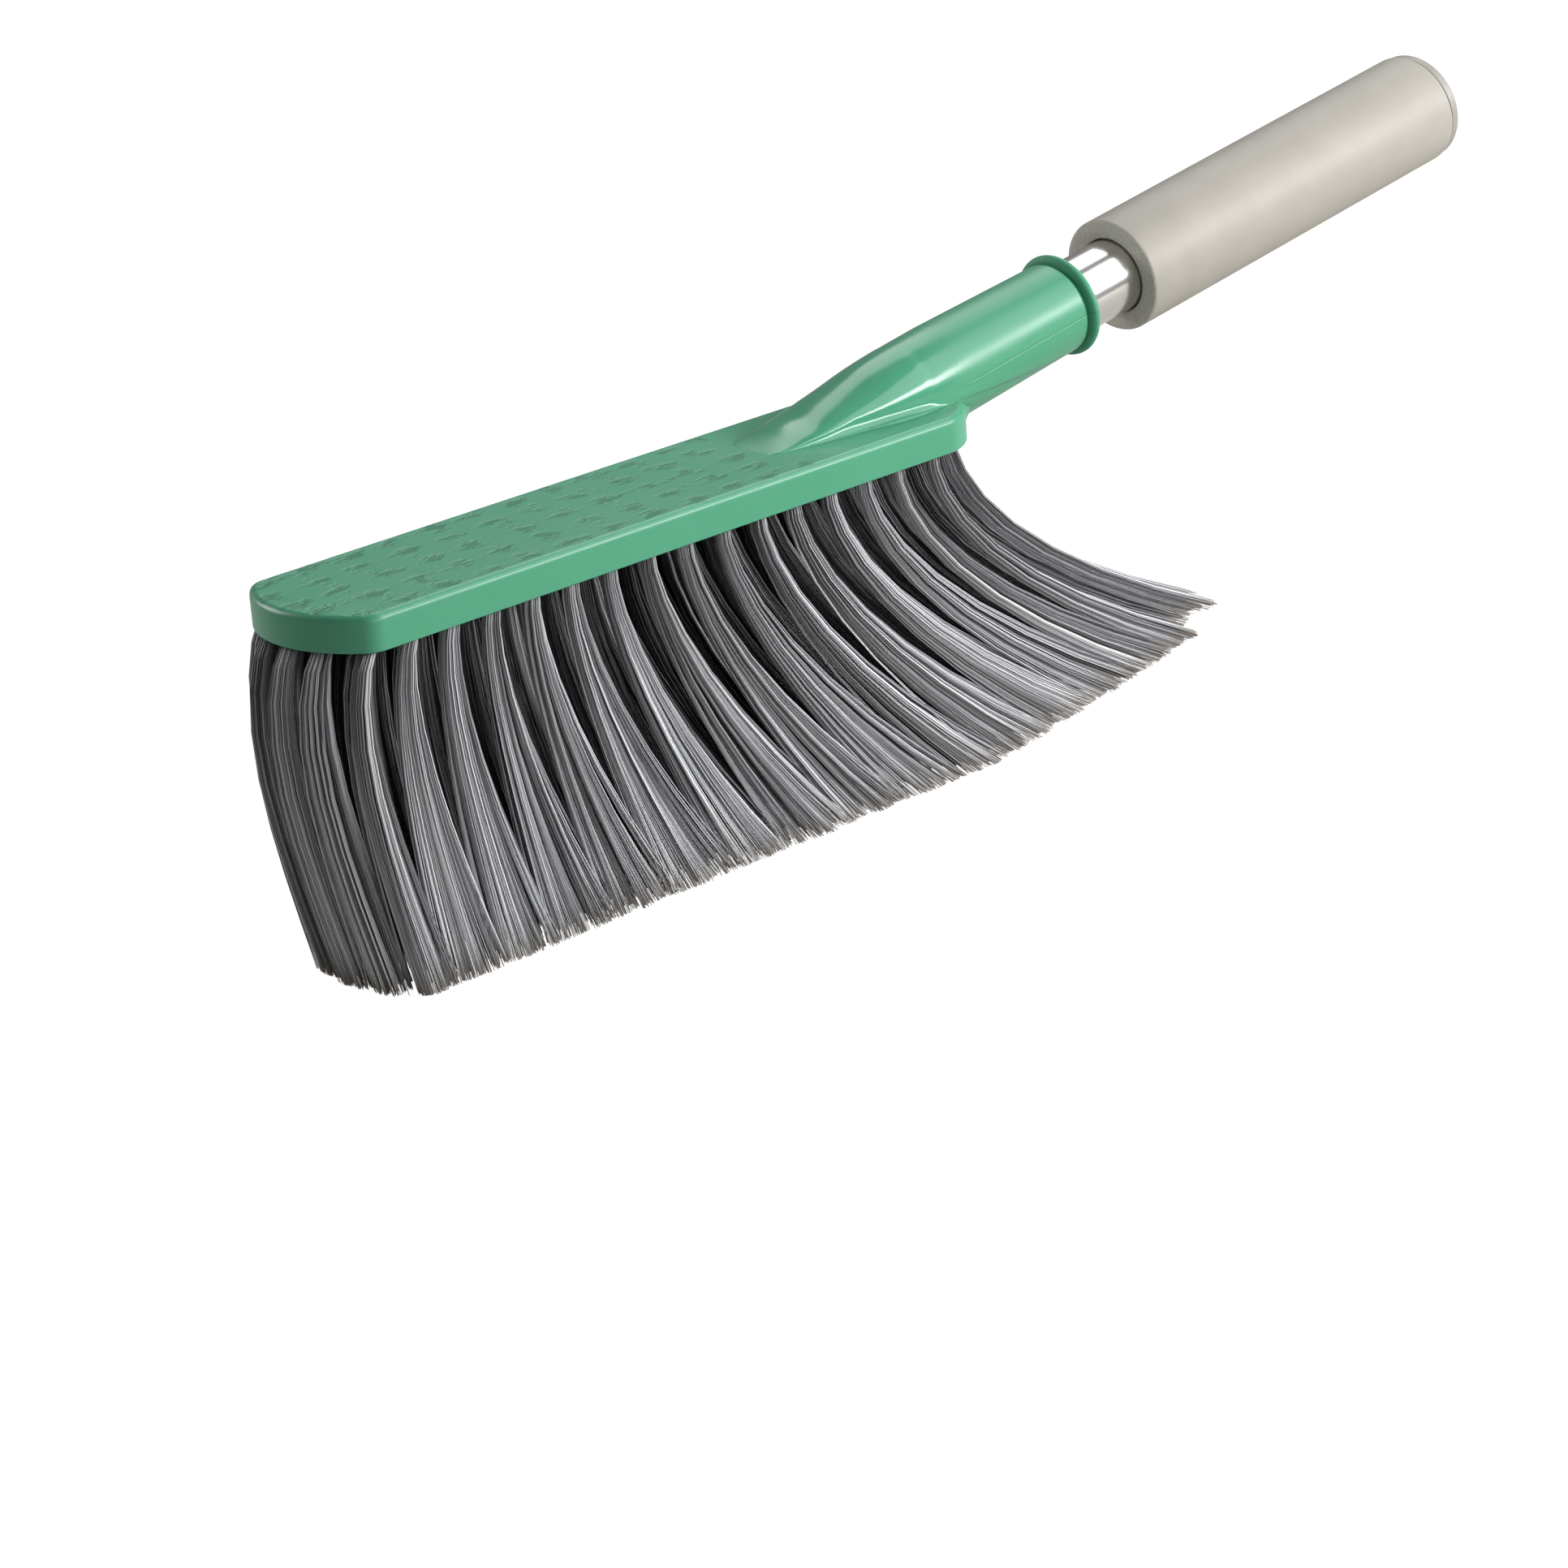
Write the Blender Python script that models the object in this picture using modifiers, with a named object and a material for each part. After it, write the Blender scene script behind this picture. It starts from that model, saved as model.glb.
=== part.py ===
"""A dusting brush: a moulded head with swept bristles, a steel tube handle and a soft grip.

Sizes are in metres and +Z is up. The brush stands on its trimmed bristle tips, with the handle towards +X.
Inside the script every place is given in the head's own frame, whose origin is the middle of the toe's corners at
the height of the block's underside. The last step moves that frame so that the whole brush is centred over the origin.
"""

import math

import bmesh
import bpy
from mathutils import Matrix, Vector

# Block, the flat part that carries the bristles
BLOCK_LENGTH = 0.178  # between the corners of the two ends
BLOCK_WIDTH = 0.0428
BLOCK_THICKNESS = 0.0085
TOE_BOW = 0.0093  # how far the free end bulges past its corners
HEEL_BOW = 0.0165  # the same at the handle end
TOE_CORNER_RADIUS = 0.0026
HEEL_CORNER_RADIUS = 0.004
TOP_EDGE_RADIUS = 0.0018
BOW_POINTS = 17
WELD_DISTANCE = 0.00005  # between points of a curve's caps and sides that become one

# Pocket in the underside, which takes the slices of backing
POCKET_RIM = 0.0014
SLICE_THICKNESS = 0.002
CLEARANCE = 0.0003  # between two pieces that touch on the real brush
OVERRUN = 0.002  # how far a cutter reaches past the faces that it opens

# Handle axis, which all the round pieces share
AXIS_SETBACK = 0.0485  # from the heel corners back to where the axis crosses AXIS_HEIGHT
AXIS_HEIGHT = 0.002
AXIS_RISE = math.radians(8.9)

# Neck, the saddle that grows out of the block's top and becomes the socket
NECK_SETBACK = 0.049  # from the heel corners back to the neck's sharp start
NECK_REACH = 0.0112  # from the heel corners on to the last place where the arch is a saddle
SADDLE_HALF_WIDTH = 0.0123
RIDGE_LIFT = 0.0151  # how far the ridge stands over the block's top at the end of the arch
FOOT_RADIUS = 0.0022  # fillet between the flanks and the block
FOOT_SINK = 0.0002  # the fillet ends this far under the block's top
NECK_DEPTH = 0.0015  # how far the neck's underside lies inside the block
NECK_END_HEIGHT = 0.0006  # its underside where it leaves the block's heel
# Along the neck: how far along, how wide and how high, each as a share of the whole
NECK_SHARES = (
    (0.0, 0.3, -0.03),
    (0.04, 0.48, 0.0),
    (0.083, 0.6, 0.035),
    (0.15, 0.68, 0.105),
    (0.216, 0.73, 0.18),
    (0.3, 0.77, 0.265),
    (0.382, 0.8, 0.37),
    (0.465, 0.835, 0.475),
    (0.548, 0.88, 0.58),
    (0.68, 0.955, 0.74),
    (0.78, 0.985, 0.84),
    (0.88, 1.0, 0.925),
    (1.0, 1.0, 1.01),
)
FOOT_SHARE = 0.3  # the fillet's radius against the ridge's height, where the ridge is low
FOOT_END_SHARES = (0.8, 0.98)  # along the neck, where the fillet starts to fade and where it is gone

# Socket
SOCKET_START = 0.0665  # along the handle axis
SOCKET_RADIUS = 0.0123
SOCKET_MOUTH_RADIUS = 0.0116
SOCKET_END = 0.1084
GROOVE_RADIUS = 0.0112
GROOVE_WIDTH = 0.0006
SOCKET_EDGE_RADIUS = 0.0005
BEAD_RADIUS = 0.0131  # outside of the bead ring
BEAD_WIDTH = 0.0032
BORE_START = 0.067
RING_POINTS = 40

# Tube, sleeve and plug
TUBE_RADIUS = 0.0095
TUBE_WALL = 0.0006
GRIP_START = 0.1305
GRIP_LENGTH = 0.12
GRIP_RADIUS = 0.0146
GRIP_EDGE_RADIUS = 0.0006
PLUG_SPIGOT = 0.012
PLUG_HEAD = 0.0035
PLUG_RADIUS = 0.0142
PLUG_FACE_RADIUS = 0.0112  # the flat middle of the plug's end
PLUG_SPIGOT_CHAMFER = 0.001
TURN_STEPS = 48

# Bristles
REACH = 0.082  # from the block's underside to the trimmed tips
TRIM = 0.0016  # what the flat cut takes off the tips
RANK_COUNT = 16  # ranks of tufts that cross the block
ROW_SHARES = (-1.0, -0.5, 0.0, 0.5, 1.0)  # rows that run along it, across its width
SIDE_MARGIN = 0.004  # from the block's side to the outer rows
TOE_MARGIN = 0.0036  # from the block's toe to the first rank
HEEL_MARGIN = 0.0047  # from the last rank to the block's heel
SLICE_CORNER_SHARES = (-1.0, -0.772, -0.553, 0.0, 0.553, 0.772, 1.0)  # across a slice
STRAND_ROOT_RADIUS = 0.00065
STRAND_TIP_RADIUS = 0.001
STRAND_SPACING = 0.002  # between two strands where they leave the block
STRAND_SIDES = 3
ROOT_DEPTH = 0.001  # how far a strand runs into its slice
TIP_SPREAD_SHARE = 0.5  # strands at the tips, as a share of the pitch between tufts
SIDE_FLARE_SHARE = 0.06  # how far the outer rows lean out, against their distance from the middle
SWEEP_TOE = 0.006  # how far the tips at the toe lie towards the handle
SWEEP_HEEL = 0.084  # how much further they lie at the heel
SWEEP_REACH = 0.012  # from the heel corners on to where the sweep is at its full amount
SWEEP_POWER = 0.84  # under 1, the tips fan out sooner behind the toe
TOE_BEND_POWER = 1.45  # the bend of one strand from root to tip
HEEL_BEND_POWER = 1.75
BEND_SETBACK = 0.078  # from the heel corners back to where the bend starts to change
TOE_BULGE = 0.008  # how far the toe's bristles belly out
TOE_BULGE_LENGTH = 0.035
TOE_BULGE_POWER = 0.6  # under 1, the belly is nearer to the block
LIFT_SETBACK = 0.0595  # from the heel corners back to where the tips start to rise off the ground
LIFT_REACH = 0.012  # from the heel corners on to where they are highest
LIFT = 0.0155
BEND_SHARES = (0.0, 0.26, 0.6, 1.0)  # the corners of one strand

HALF_WIDTH = BLOCK_WIDTH / 2
OUTER_ROW = HALF_WIDTH - SIDE_MARGIN
ROW_PITCH = OUTER_ROW * (ROW_SHARES[1] - ROW_SHARES[0])
RANK_PITCH = (BLOCK_LENGTH - HEEL_MARGIN) / (RANK_COUNT - 1)  # along the outer rows
AXIS_START = BLOCK_LENGTH - AXIS_SETBACK
NECK_START = BLOCK_LENGTH - NECK_SETBACK
NECK_LENGTH = NECK_SETBACK + NECK_REACH
SWEEP_LENGTH = BLOCK_LENGTH + SWEEP_REACH
BEND_START = BLOCK_LENGTH - BEND_SETBACK
LIFT_START = BLOCK_LENGTH - LIFT_SETBACK
LIFT_LENGTH = LIFT_SETBACK + LIFT_REACH


def clear_scene():
    for item in list(bpy.data.objects):
        bpy.data.objects.remove(item, do_unlink=True)


def new_collection(name):
    found = bpy.data.collections.new(name)
    bpy.context.scene.collection.children.link(found)
    return found


def plastic(name, colour, roughness, metallic=0.0):
    made = bpy.data.materials.new(name)
    made.use_nodes = True
    shader = made.node_tree.nodes["Principled BSDF"]
    shader.inputs["Base Color"].default_value = (*colour, 1.0)
    shader.inputs["Roughness"].default_value = roughness
    shader.inputs["Metallic"].default_value = metallic
    made.diffuse_color = (*colour, 1.0)
    return made


def mesh_object(name, mesh, collection, parent, material=None):
    made = bpy.data.objects.new(name, mesh)
    collection.objects.link(made)
    made.parent = parent
    if material:
        mesh.materials.clear()
        mesh.materials.append(material)
    return made


def hide_cutter(cutter):
    cutter.hide_render = True
    cutter.display_type = "WIRE"


def add_boolean(target, cutter, operation, many_bodies=False):
    """Cuts or joins the target with a cutter, which may be made of many bodies."""
    hide_cutter(cutter)
    step = target.modifiers.new(cutter.name, "BOOLEAN")
    step.operation = operation
    step.object = cutter
    step.solver = "EXACT"
    step.use_self = many_bodies


def mesh_from(bm, name):
    bmesh.ops.recalc_face_normals(bm, faces=bm.faces)
    mesh = bpy.data.meshes.new(name)
    bm.to_mesh(mesh)
    bm.free()
    return mesh


def smooth(mesh, limit=math.radians(35)):
    mesh.shade_smooth()
    mesh.set_sharp_from_angle(angle=limit)


def mesh_of_curve(curve_object, name):
    """The curve as a mesh with its caps welded on; the curve itself is removed."""
    graph = bpy.context.evaluated_depsgraph_get()
    mesh = bpy.data.meshes.new_from_object(curve_object.evaluated_get(graph))
    mesh.name = name
    bm = bmesh.new()
    bm.from_mesh(mesh)
    bmesh.ops.remove_doubles(bm, verts=bm.verts, dist=WELD_DISTANCE)
    bmesh.ops.recalc_face_normals(bm, faces=bm.faces)
    bm.to_mesh(mesh)
    bm.free()
    data = curve_object.data
    bpy.data.objects.remove(curve_object)
    bpy.data.curves.remove(data)
    return mesh


def slab(outline, low, high, name, collection):
    """The mesh of a flat outline, from one height to another."""
    data = bpy.data.curves.new(name, "CURVE")
    data.dimensions = "2D"
    data.fill_mode = "BOTH"
    data.extrude = (high - low) / 2
    spline = data.splines.new("POLY")
    spline.points.add(len(outline) - 1)
    for point, (x, y) in zip(spline.points, outline):
        point.co = (x, y, 0.0, 1.0)
    spline.use_cyclic_u = True
    curve = bpy.data.objects.new(name, data)
    collection.objects.link(curve)
    mesh = mesh_of_curve(curve, name)
    mesh.transform(Matrix.Translation((0.0, 0.0, (low + high) / 2)))
    return mesh


def bow_radius(bow):
    """The radius of an end's arc, from its chord, which is the block's width, and its height."""
    return (HALF_WIDTH**2 + bow**2) / (2 * bow)


def bow_at(y, bow, inset=0.0):
    """How far an end's arc, or one that lies inside it, stands past the corners at a distance y."""
    radius = bow_radius(bow)
    return math.sqrt(max((radius - inset) ** 2 - y**2, 0.0)) - (radius - bow)


def toe_at(y, inset=0.0):
    return -bow_at(y, TOE_BOW, inset)


def heel_at(y, inset=0.0):
    return BLOCK_LENGTH + bow_at(y, HEEL_BOW, inset)


def spread_over(half_width, count):
    """Places across the block, from -Y to +Y."""
    return [half_width * (2 * i / (count - 1) - 1) for i in range(count)]


def block_outline(inset=0.0):
    """The block's plan, or one that lies inside it by the inset."""
    places = spread_over(HALF_WIDTH - inset, BOW_POINTS)
    toe = [(toe_at(y, inset), y) for y in reversed(places)]
    return toe + [(heel_at(y, inset), y) for y in places]


def make_block(name, collection, parent, material):
    """The flat block: its outline extruded, with rounded corners and a rounded top edge."""
    mesh = slab(block_outline(), 0.0, BLOCK_THICKNESS, name, collection)
    bm = bmesh.new()
    bm.from_mesh(mesh)
    for place, radius in ((0.0, TOE_CORNER_RADIUS), (BLOCK_LENGTH, HEEL_CORNER_RADIUS)):
        upright = [
            edge
            for edge in bm.edges
            if all(
                abs(v.co.x - place) < CLEARANCE and abs(abs(v.co.y) - HALF_WIDTH) < CLEARANCE
                for v in edge.verts
            )
        ]
        bmesh.ops.bevel(
            bm, geom=upright, offset=radius, segments=4, profile=0.5, affect="EDGES", material=-1
        )
    half_height = BLOCK_THICKNESS / 2
    rim = [
        edge
        for edge in bm.edges
        if all(v.co.z > half_height for v in edge.verts)
        and any(abs(face.normal.z) < 0.5 for face in edge.link_faces)
        and any(face.normal.z > 0.5 for face in edge.link_faces)
    ]
    bmesh.ops.bevel(
        bm, geom=rim, offset=TOP_EDGE_RADIUS, segments=3, profile=0.5, affect="EDGES", material=-1
    )
    mesh.clear_geometry()
    bm.to_mesh(mesh)
    bm.free()
    smooth(mesh)
    return mesh_object(name, mesh, collection, parent, material)


def axis_point(along, out, angle):
    """A point round the handle axis; the angle is 0 at the top and grows towards -Y."""
    forward = Vector((math.cos(AXIS_RISE), 0.0, math.sin(AXIS_RISE)))
    upward = Vector((-math.sin(AXIS_RISE), 0.0, math.cos(AXIS_RISE)))
    start = Vector((AXIS_START, 0.0, AXIS_HEIGHT))
    across = Vector((0.0, -1.0, 0.0))
    return start + forward * along + (upward * math.cos(angle) + across * math.sin(angle)) * out


def ramp(value, start, end):
    """0 before the start, 1 after the end and a smooth rise between them."""
    share = min(max((value - start) / (end - start), 0.0), 1.0)
    return share * share * (3 - 2 * share)


def saddle_ring(along_share, width_share, height_share):
    """One cross-section of the neck: an arch on two flanks, with a filleted foot sunk in the block."""
    x = NECK_START + NECK_LENGTH * along_share
    half = SADDLE_HALF_WIDTH * width_share
    lift = RIDGE_LIFT * height_share
    ridge = BLOCK_THICKNESS + lift
    fade = 1 - ramp(along_share, *FOOT_END_SHARES)
    foot = max(min(FOOT_RADIUS, FOOT_SHARE * lift) * fade, FOOT_SINK)
    axis_height = AXIS_HEIGHT + (x - AXIS_START) * math.tan(AXIS_RISE)
    spring = max(axis_height, BLOCK_THICKNESS + foot) if lift > foot else ridge - foot
    under = NECK_END_HEIGHT if along_share == 1.0 else BLOCK_THICKNESS - NECK_DEPTH
    quarter = RING_POINTS // 4
    ring = []
    for i in range(quarter + 1):
        turn = math.pi / 2 * i / quarter
        ring.append((half * math.sin(turn), spring + (ridge - spring) * math.cos(turn)))
    foot_top = min(BLOCK_THICKNESS + foot, spring)
    ring.append((half, (spring + foot_top) / 2))
    ring.append((half, foot_top))
    drop = foot_top - BLOCK_THICKNESS + FOOT_SINK
    for step in (1, 2, 3):
        turn = math.pi / 2 * step / 3
        ring.append((half + foot * (1 - math.cos(turn)), foot_top - drop * math.sin(turn)))
    outer = half + foot
    while len(ring) <= 2 * quarter:
        left = 2 * quarter - len(ring)
        ring.append((outer * left / 4, under))
    points = [Vector((x, -y, z)) for y, z in ring]
    mirrored = [Vector((p.x, -p.y, p.z)) for p in reversed(points[1:-1])]
    return points + mirrored


def round_ring(along, radius):
    turn = 2 * math.pi / RING_POINTS
    return [axis_point(along, radius, turn * i) for i in range(RING_POINTS)]


def socket_rings():
    """The tapered socket, its rounded end, the groove and the bead ring round the mouth."""
    taper_steps = 4
    rings = []
    for i in range(taper_steps + 1):
        share = i / taper_steps
        along = SOCKET_START + (SOCKET_END - SOCKET_EDGE_RADIUS - SOCKET_START) * share
        radius = SOCKET_RADIUS + (SOCKET_MOUTH_RADIUS - SOCKET_RADIUS) * share
        rings.append(round_ring(along, radius))
    rings.append(round_ring(SOCKET_END, GROOVE_RADIUS))
    bead_start = SOCKET_END + GROOVE_WIDTH
    bead_height = BEAD_RADIUS - GROOVE_RADIUS
    bead_steps = 6
    for i in range(bead_steps + 1):
        turn = math.pi * i / bead_steps
        along = bead_start + BEAD_WIDTH / 2 * (1 - math.cos(turn))
        rings.append(round_ring(along, GROOVE_RADIUS + bead_height * math.sin(turn)))
    return rings


def make_neck(name, collection, parent):
    """A loft from the neck's sharp start to the round mouth of the socket."""
    rings = [saddle_ring(*shares) for shares in NECK_SHARES] + socket_rings()
    bm = bmesh.new()
    loops = [[bm.verts.new(point) for point in ring] for ring in rings]
    for near, far in zip(loops, loops[1:]):
        for i in range(RING_POINTS):
            after = (i + 1) % RING_POINTS
            bm.faces.new((near[i], near[after], far[after], far[i]))
    bm.faces.new(loops[0])
    bm.faces.new(loops[-1])
    mesh = mesh_from(bm, name)
    smooth(mesh)
    return mesh_object(name, mesh, collection, parent)


def turned(name, profile, collection, parent, material=None, along=0.0):
    """A body turned about the handle axis from a closed profile of (radius, place along) points."""
    mesh = bpy.data.meshes.new(name)
    points = [(radius, 0.0, place) for radius, place in profile]
    open_profile = profile[0][0] == 0.0 and profile[-1][0] == 0.0
    count = len(points)
    edges = [(i, (i + 1) % count) for i in range(count - 1 if open_profile else count)]
    mesh.from_pydata(points, edges, [])
    made = mesh_object(name, mesh, collection, parent, material)
    made.location = (0.0, 0.0, along)
    screw = made.modifiers.new("turn", "SCREW")
    screw.steps = TURN_STEPS
    screw.render_steps = TURN_STEPS
    screw.use_merge_vertices = True
    screw.merge_threshold = 0.00001
    screw.use_smooth_shade = True
    return made


def make_head(collection, cutters, frame, handle, material):
    """The moulded head: block and neck joined, then the tube's bore and the backing's pocket cut out."""
    head = make_block("brush_head", collection, frame, material)
    add_boolean(head, make_neck("neck", cutters, frame), "UNION")
    radius = TUBE_RADIUS + CLEARANCE
    mouth = SOCKET_END + GROOVE_WIDTH + BEAD_WIDTH + OVERRUN
    bore = turned(
        "tube_bore",
        [(0.0, mouth), (radius, mouth), (radius, BORE_START), (0.0, BORE_START)],
        cutters,
        handle,
    )
    add_boolean(head, bore, "DIFFERENCE")
    outline = block_outline(POCKET_RIM)
    mesh = slab(outline, -OVERRUN, SLICE_THICKNESS + CLEARANCE, "backing_pocket", cutters)
    pocket = mesh_object("backing_pocket", mesh, cutters, frame)
    add_boolean(head, pocket, "DIFFERENCE")
    return head


def between_ends(y, share, toe_inset, heel_inset):
    """A place at a distance y from the middle, from the toe at 0 to the heel at 1."""
    start = toe_at(y, toe_inset)
    return start + (heel_at(y, heel_inset) - start) * share


def slice_edge(number, y):
    """Where the backing of one rank ends and the next one's starts."""
    inset = POCKET_RIM + CLEARANCE
    if number == 0:
        return toe_at(y, inset)
    if number == RANK_COUNT:
        return heel_at(y, inset)
    beside = OUTER_ROW if abs(y) > OUTER_ROW - ROW_PITCH / 2 else y
    return between_ends(beside, (number - 0.5) / (RANK_COUNT - 1), TOE_MARGIN, HEEL_MARGIN)


def slice_outline(number):
    """The backing of one rank: a strip across the block, bowed like the ends that it lies between."""
    near_gap = CLEARANCE / 2 if number > 0 else 0.0
    far_gap = CLEARANCE / 2 if number < RANK_COUNT - 1 else 0.0
    half = HALF_WIDTH - POCKET_RIM - CLEARANCE
    places = [half * share for share in SLICE_CORNER_SHARES]
    near = [(slice_edge(number, y) + near_gap, y) for y in reversed(places)]
    return near + [(slice_edge(number + 1, y) - far_gap, y) for y in places]


def tuft_places(number):
    """The middle of each tuft of a rank, where it leaves the block."""
    rows = [OUTER_ROW * row_share for row_share in ROW_SHARES]
    share = number / (RANK_COUNT - 1)
    return [(between_ends(y, share, TOE_MARGIN, HEEL_MARGIN), y) for y in rows]


def strand_corners(y):
    """Where a tuft's strands stand in it, in halves of the spacing."""
    if abs(y) > OUTER_ROW - ROW_PITCH / 2:
        return [(-1, -1), (1, -1), (0, 0), (-1, 1), (1, 1)]
    side = 1 if y > 0 else -1
    return [(-1, -side), (1, -side), (0, side)]


def sweep(x):
    """How far the tip of a bristle rooted at x lies towards the handle."""
    share = min(max(x / SWEEP_LENGTH, 0.0), 1.0)
    return SWEEP_TOE + SWEEP_HEEL * math.sin(math.pi / 2 * share**SWEEP_POWER) ** 2


def bend(x):
    """The power of the share of its depth that a bristle rooted at x follows towards the handle."""
    share = min(max((x - BEND_START) / (SWEEP_LENGTH - BEND_START), 0.0), 1.0)
    return TOE_BEND_POWER + (HEEL_BEND_POWER - TOE_BEND_POWER) * share


def belly(x, share):
    """How far a bristle rooted at x bulges towards the toe, at a share of its depth."""
    size = TOE_BULGE * math.exp(-max(x + TOE_BOW, 0.0) / TOE_BULGE_LENGTH)
    return size * math.sin(math.pi * share**TOE_BULGE_POWER)


def reach(x):
    """How far below the block a bristle rooted at x ends, before the trim."""
    past = min(max((x - LIFT_START) / LIFT_LENGTH, 0.0), 1.0)
    return REACH + (TRIM if past == 0.0 else 0.0) - LIFT * past


def strand_point(tuft, corner, share):
    """A point on a strand, from its root in the block at 0 to its tip at 1."""
    x, y = tuft
    root = STRAND_SPACING / 2
    spread_x = root + (RANK_PITCH * TIP_SPREAD_SHARE / 2 - root) * share
    spread_y = root + (ROW_PITCH * TIP_SPREAD_SHARE / 2 - root) * share
    base = x + corner[0] * spread_x
    swept = base + sweep(base) * share ** bend(base) - belly(base, share)
    aside = y * (1 + SIDE_FLARE_SHARE * share) + corner[1] * spread_y
    return Vector((swept, aside, -reach(base) * share))


def strand_radius(share):
    return STRAND_ROOT_RADIUS + (STRAND_TIP_RADIUS - STRAND_ROOT_RADIUS) * share


def three_sided_section(collection):
    """The strands' cross-section, a triangle of radius 1 that each point's radius scales."""
    data = bpy.data.curves.new("strand_section", "CURVE")
    data.dimensions = "2D"
    spline = data.splines.new("POLY")
    spline.points.add(STRAND_SIDES - 1)
    for i, point in enumerate(spline.points):
        turn = 2 * math.pi * i / STRAND_SIDES
        point.co = (math.cos(turn), math.sin(turn), 0.0, 1.0)
    spline.use_cyclic_u = True
    section = bpy.data.objects.new("strand_section", data)
    collection.objects.link(section)
    hide_cutter(section)
    return section


def make_strands(number, section, cutters, frame):
    """All the strands of one rank, cut flat where they meet the ground."""
    name = f"strands_{number + 1:02d}"
    data = bpy.data.curves.new(name, "CURVE")
    data.dimensions = "3D"
    data.bevel_mode = "OBJECT"
    data.bevel_object = section
    data.use_fill_caps = True
    for tuft in tuft_places(number):
        for corner in strand_corners(tuft[1]):
            path = [strand_point(tuft, corner, share) for share in BEND_SHARES]
            path[0].z = ROOT_DEPTH
            spline = data.splines.new("POLY")
            spline.points.add(len(path) - 1)
            for point, place, share in zip(spline.points, path, BEND_SHARES):
                point.co = (*place, 1.0)
                point.radius = strand_radius(share)
    curve = bpy.data.objects.new(name, data)
    cutters.objects.link(curve)
    mesh = mesh_of_curve(curve, name)
    bm = bmesh.new()
    bm.from_mesh(mesh)
    cut = bmesh.ops.bisect_plane(
        bm,
        geom=bm.verts[:] + bm.edges[:] + bm.faces[:],
        plane_co=(0.0, 0.0, -REACH),
        plane_no=(0.0, 0.0, -1.0),
        clear_outer=True,
    )
    rims = [item for item in cut["geom_cut"] if isinstance(item, bmesh.types.BMEdge)]
    if rims:
        bmesh.ops.edgeloop_fill(bm, edges=rims)
    bmesh.ops.recalc_face_normals(bm, faces=bm.faces)
    bm.to_mesh(mesh)
    bm.free()
    return mesh_object(name, mesh, cutters, frame)


def make_rank(number, section, collection, cutters, frame, material):
    """One cross rank of tufts, joined to its slice of backing."""
    name = f"tuft_rank_{number + 1:02d}"
    mesh = slab(slice_outline(number), 0.0, SLICE_THICKNESS, name, collection)
    rank = mesh_object(name, mesh, collection, frame, material)
    strands = make_strands(number, section, cutters, frame)
    add_boolean(rank, strands, "UNION", many_bodies=True)
    return rank


def make_tube(collection, handle, material):
    """The steel tube, from the bottom of the socket to the end of the sleeve."""
    start = BORE_START + CLEARANCE
    end = GRIP_START + GRIP_LENGTH
    inner = TUBE_RADIUS - TUBE_WALL
    profile = [(TUBE_RADIUS, end), (TUBE_RADIUS, start), (inner, start), (inner, end)]
    return turned("handle_tube", profile, collection, handle, material)


def make_grip(collection, handle, material):
    """The soft sleeve, with a cut end face and a slightly softened rim."""
    inner = TUBE_RADIUS + CLEARANCE
    rim = GRIP_RADIUS - GRIP_EDGE_RADIUS
    profile = [
        (inner, GRIP_LENGTH),
        (rim, GRIP_LENGTH),
        (GRIP_RADIUS, GRIP_LENGTH - GRIP_EDGE_RADIUS),
        (GRIP_RADIUS, GRIP_EDGE_RADIUS),
        (rim, 0.0),
        (inner, 0.0),
    ]
    return turned("grip_sleeve", profile, collection, handle, material, GRIP_START)


def make_plug(collection, handle, material):
    """The plug in the tube's far end: a spigot in the tube and a domed head over the sleeve's end."""
    spigot = TUBE_RADIUS - TUBE_WALL - CLEARANCE
    dome_steps = 4
    profile = [(0.0, PLUG_HEAD)]
    for i in range(dome_steps + 1):
        turn = math.pi / 2 * i / dome_steps
        profile.append(
            (
                PLUG_FACE_RADIUS + (PLUG_RADIUS - PLUG_FACE_RADIUS) * math.sin(turn),
                PLUG_HEAD / 2 * (1 + math.cos(turn)),
            )
        )
    profile += [
        (PLUG_RADIUS, 0.0),
        (spigot, 0.0),
        (spigot, PLUG_SPIGOT_CHAMFER - PLUG_SPIGOT),
        (spigot - PLUG_SPIGOT_CHAMFER, -PLUG_SPIGOT),
        (0.0, -PLUG_SPIGOT),
    ]
    seat = GRIP_START + GRIP_LENGTH + CLEARANCE
    return turned("end_plug", profile, collection, handle, material, seat)


def stand_over_origin(frame, pieces):
    """Moves the frame so that the tips stand on z = 0 and the brush's box is centred over the origin."""
    bpy.context.view_layer.update()
    graph = bpy.context.evaluated_depsgraph_get()
    corners = []
    for piece in pieces:
        seen = piece.evaluated_get(graph)
        corners += [seen.matrix_world @ vertex.co for vertex in seen.data.vertices]
    middle = [(min(p[i] for p in corners) + max(p[i] for p in corners)) / 2 for i in (0, 1)]
    frame.location = (-middle[0], -middle[1], REACH)
    bpy.context.view_layer.update()
    return frame.location


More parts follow.
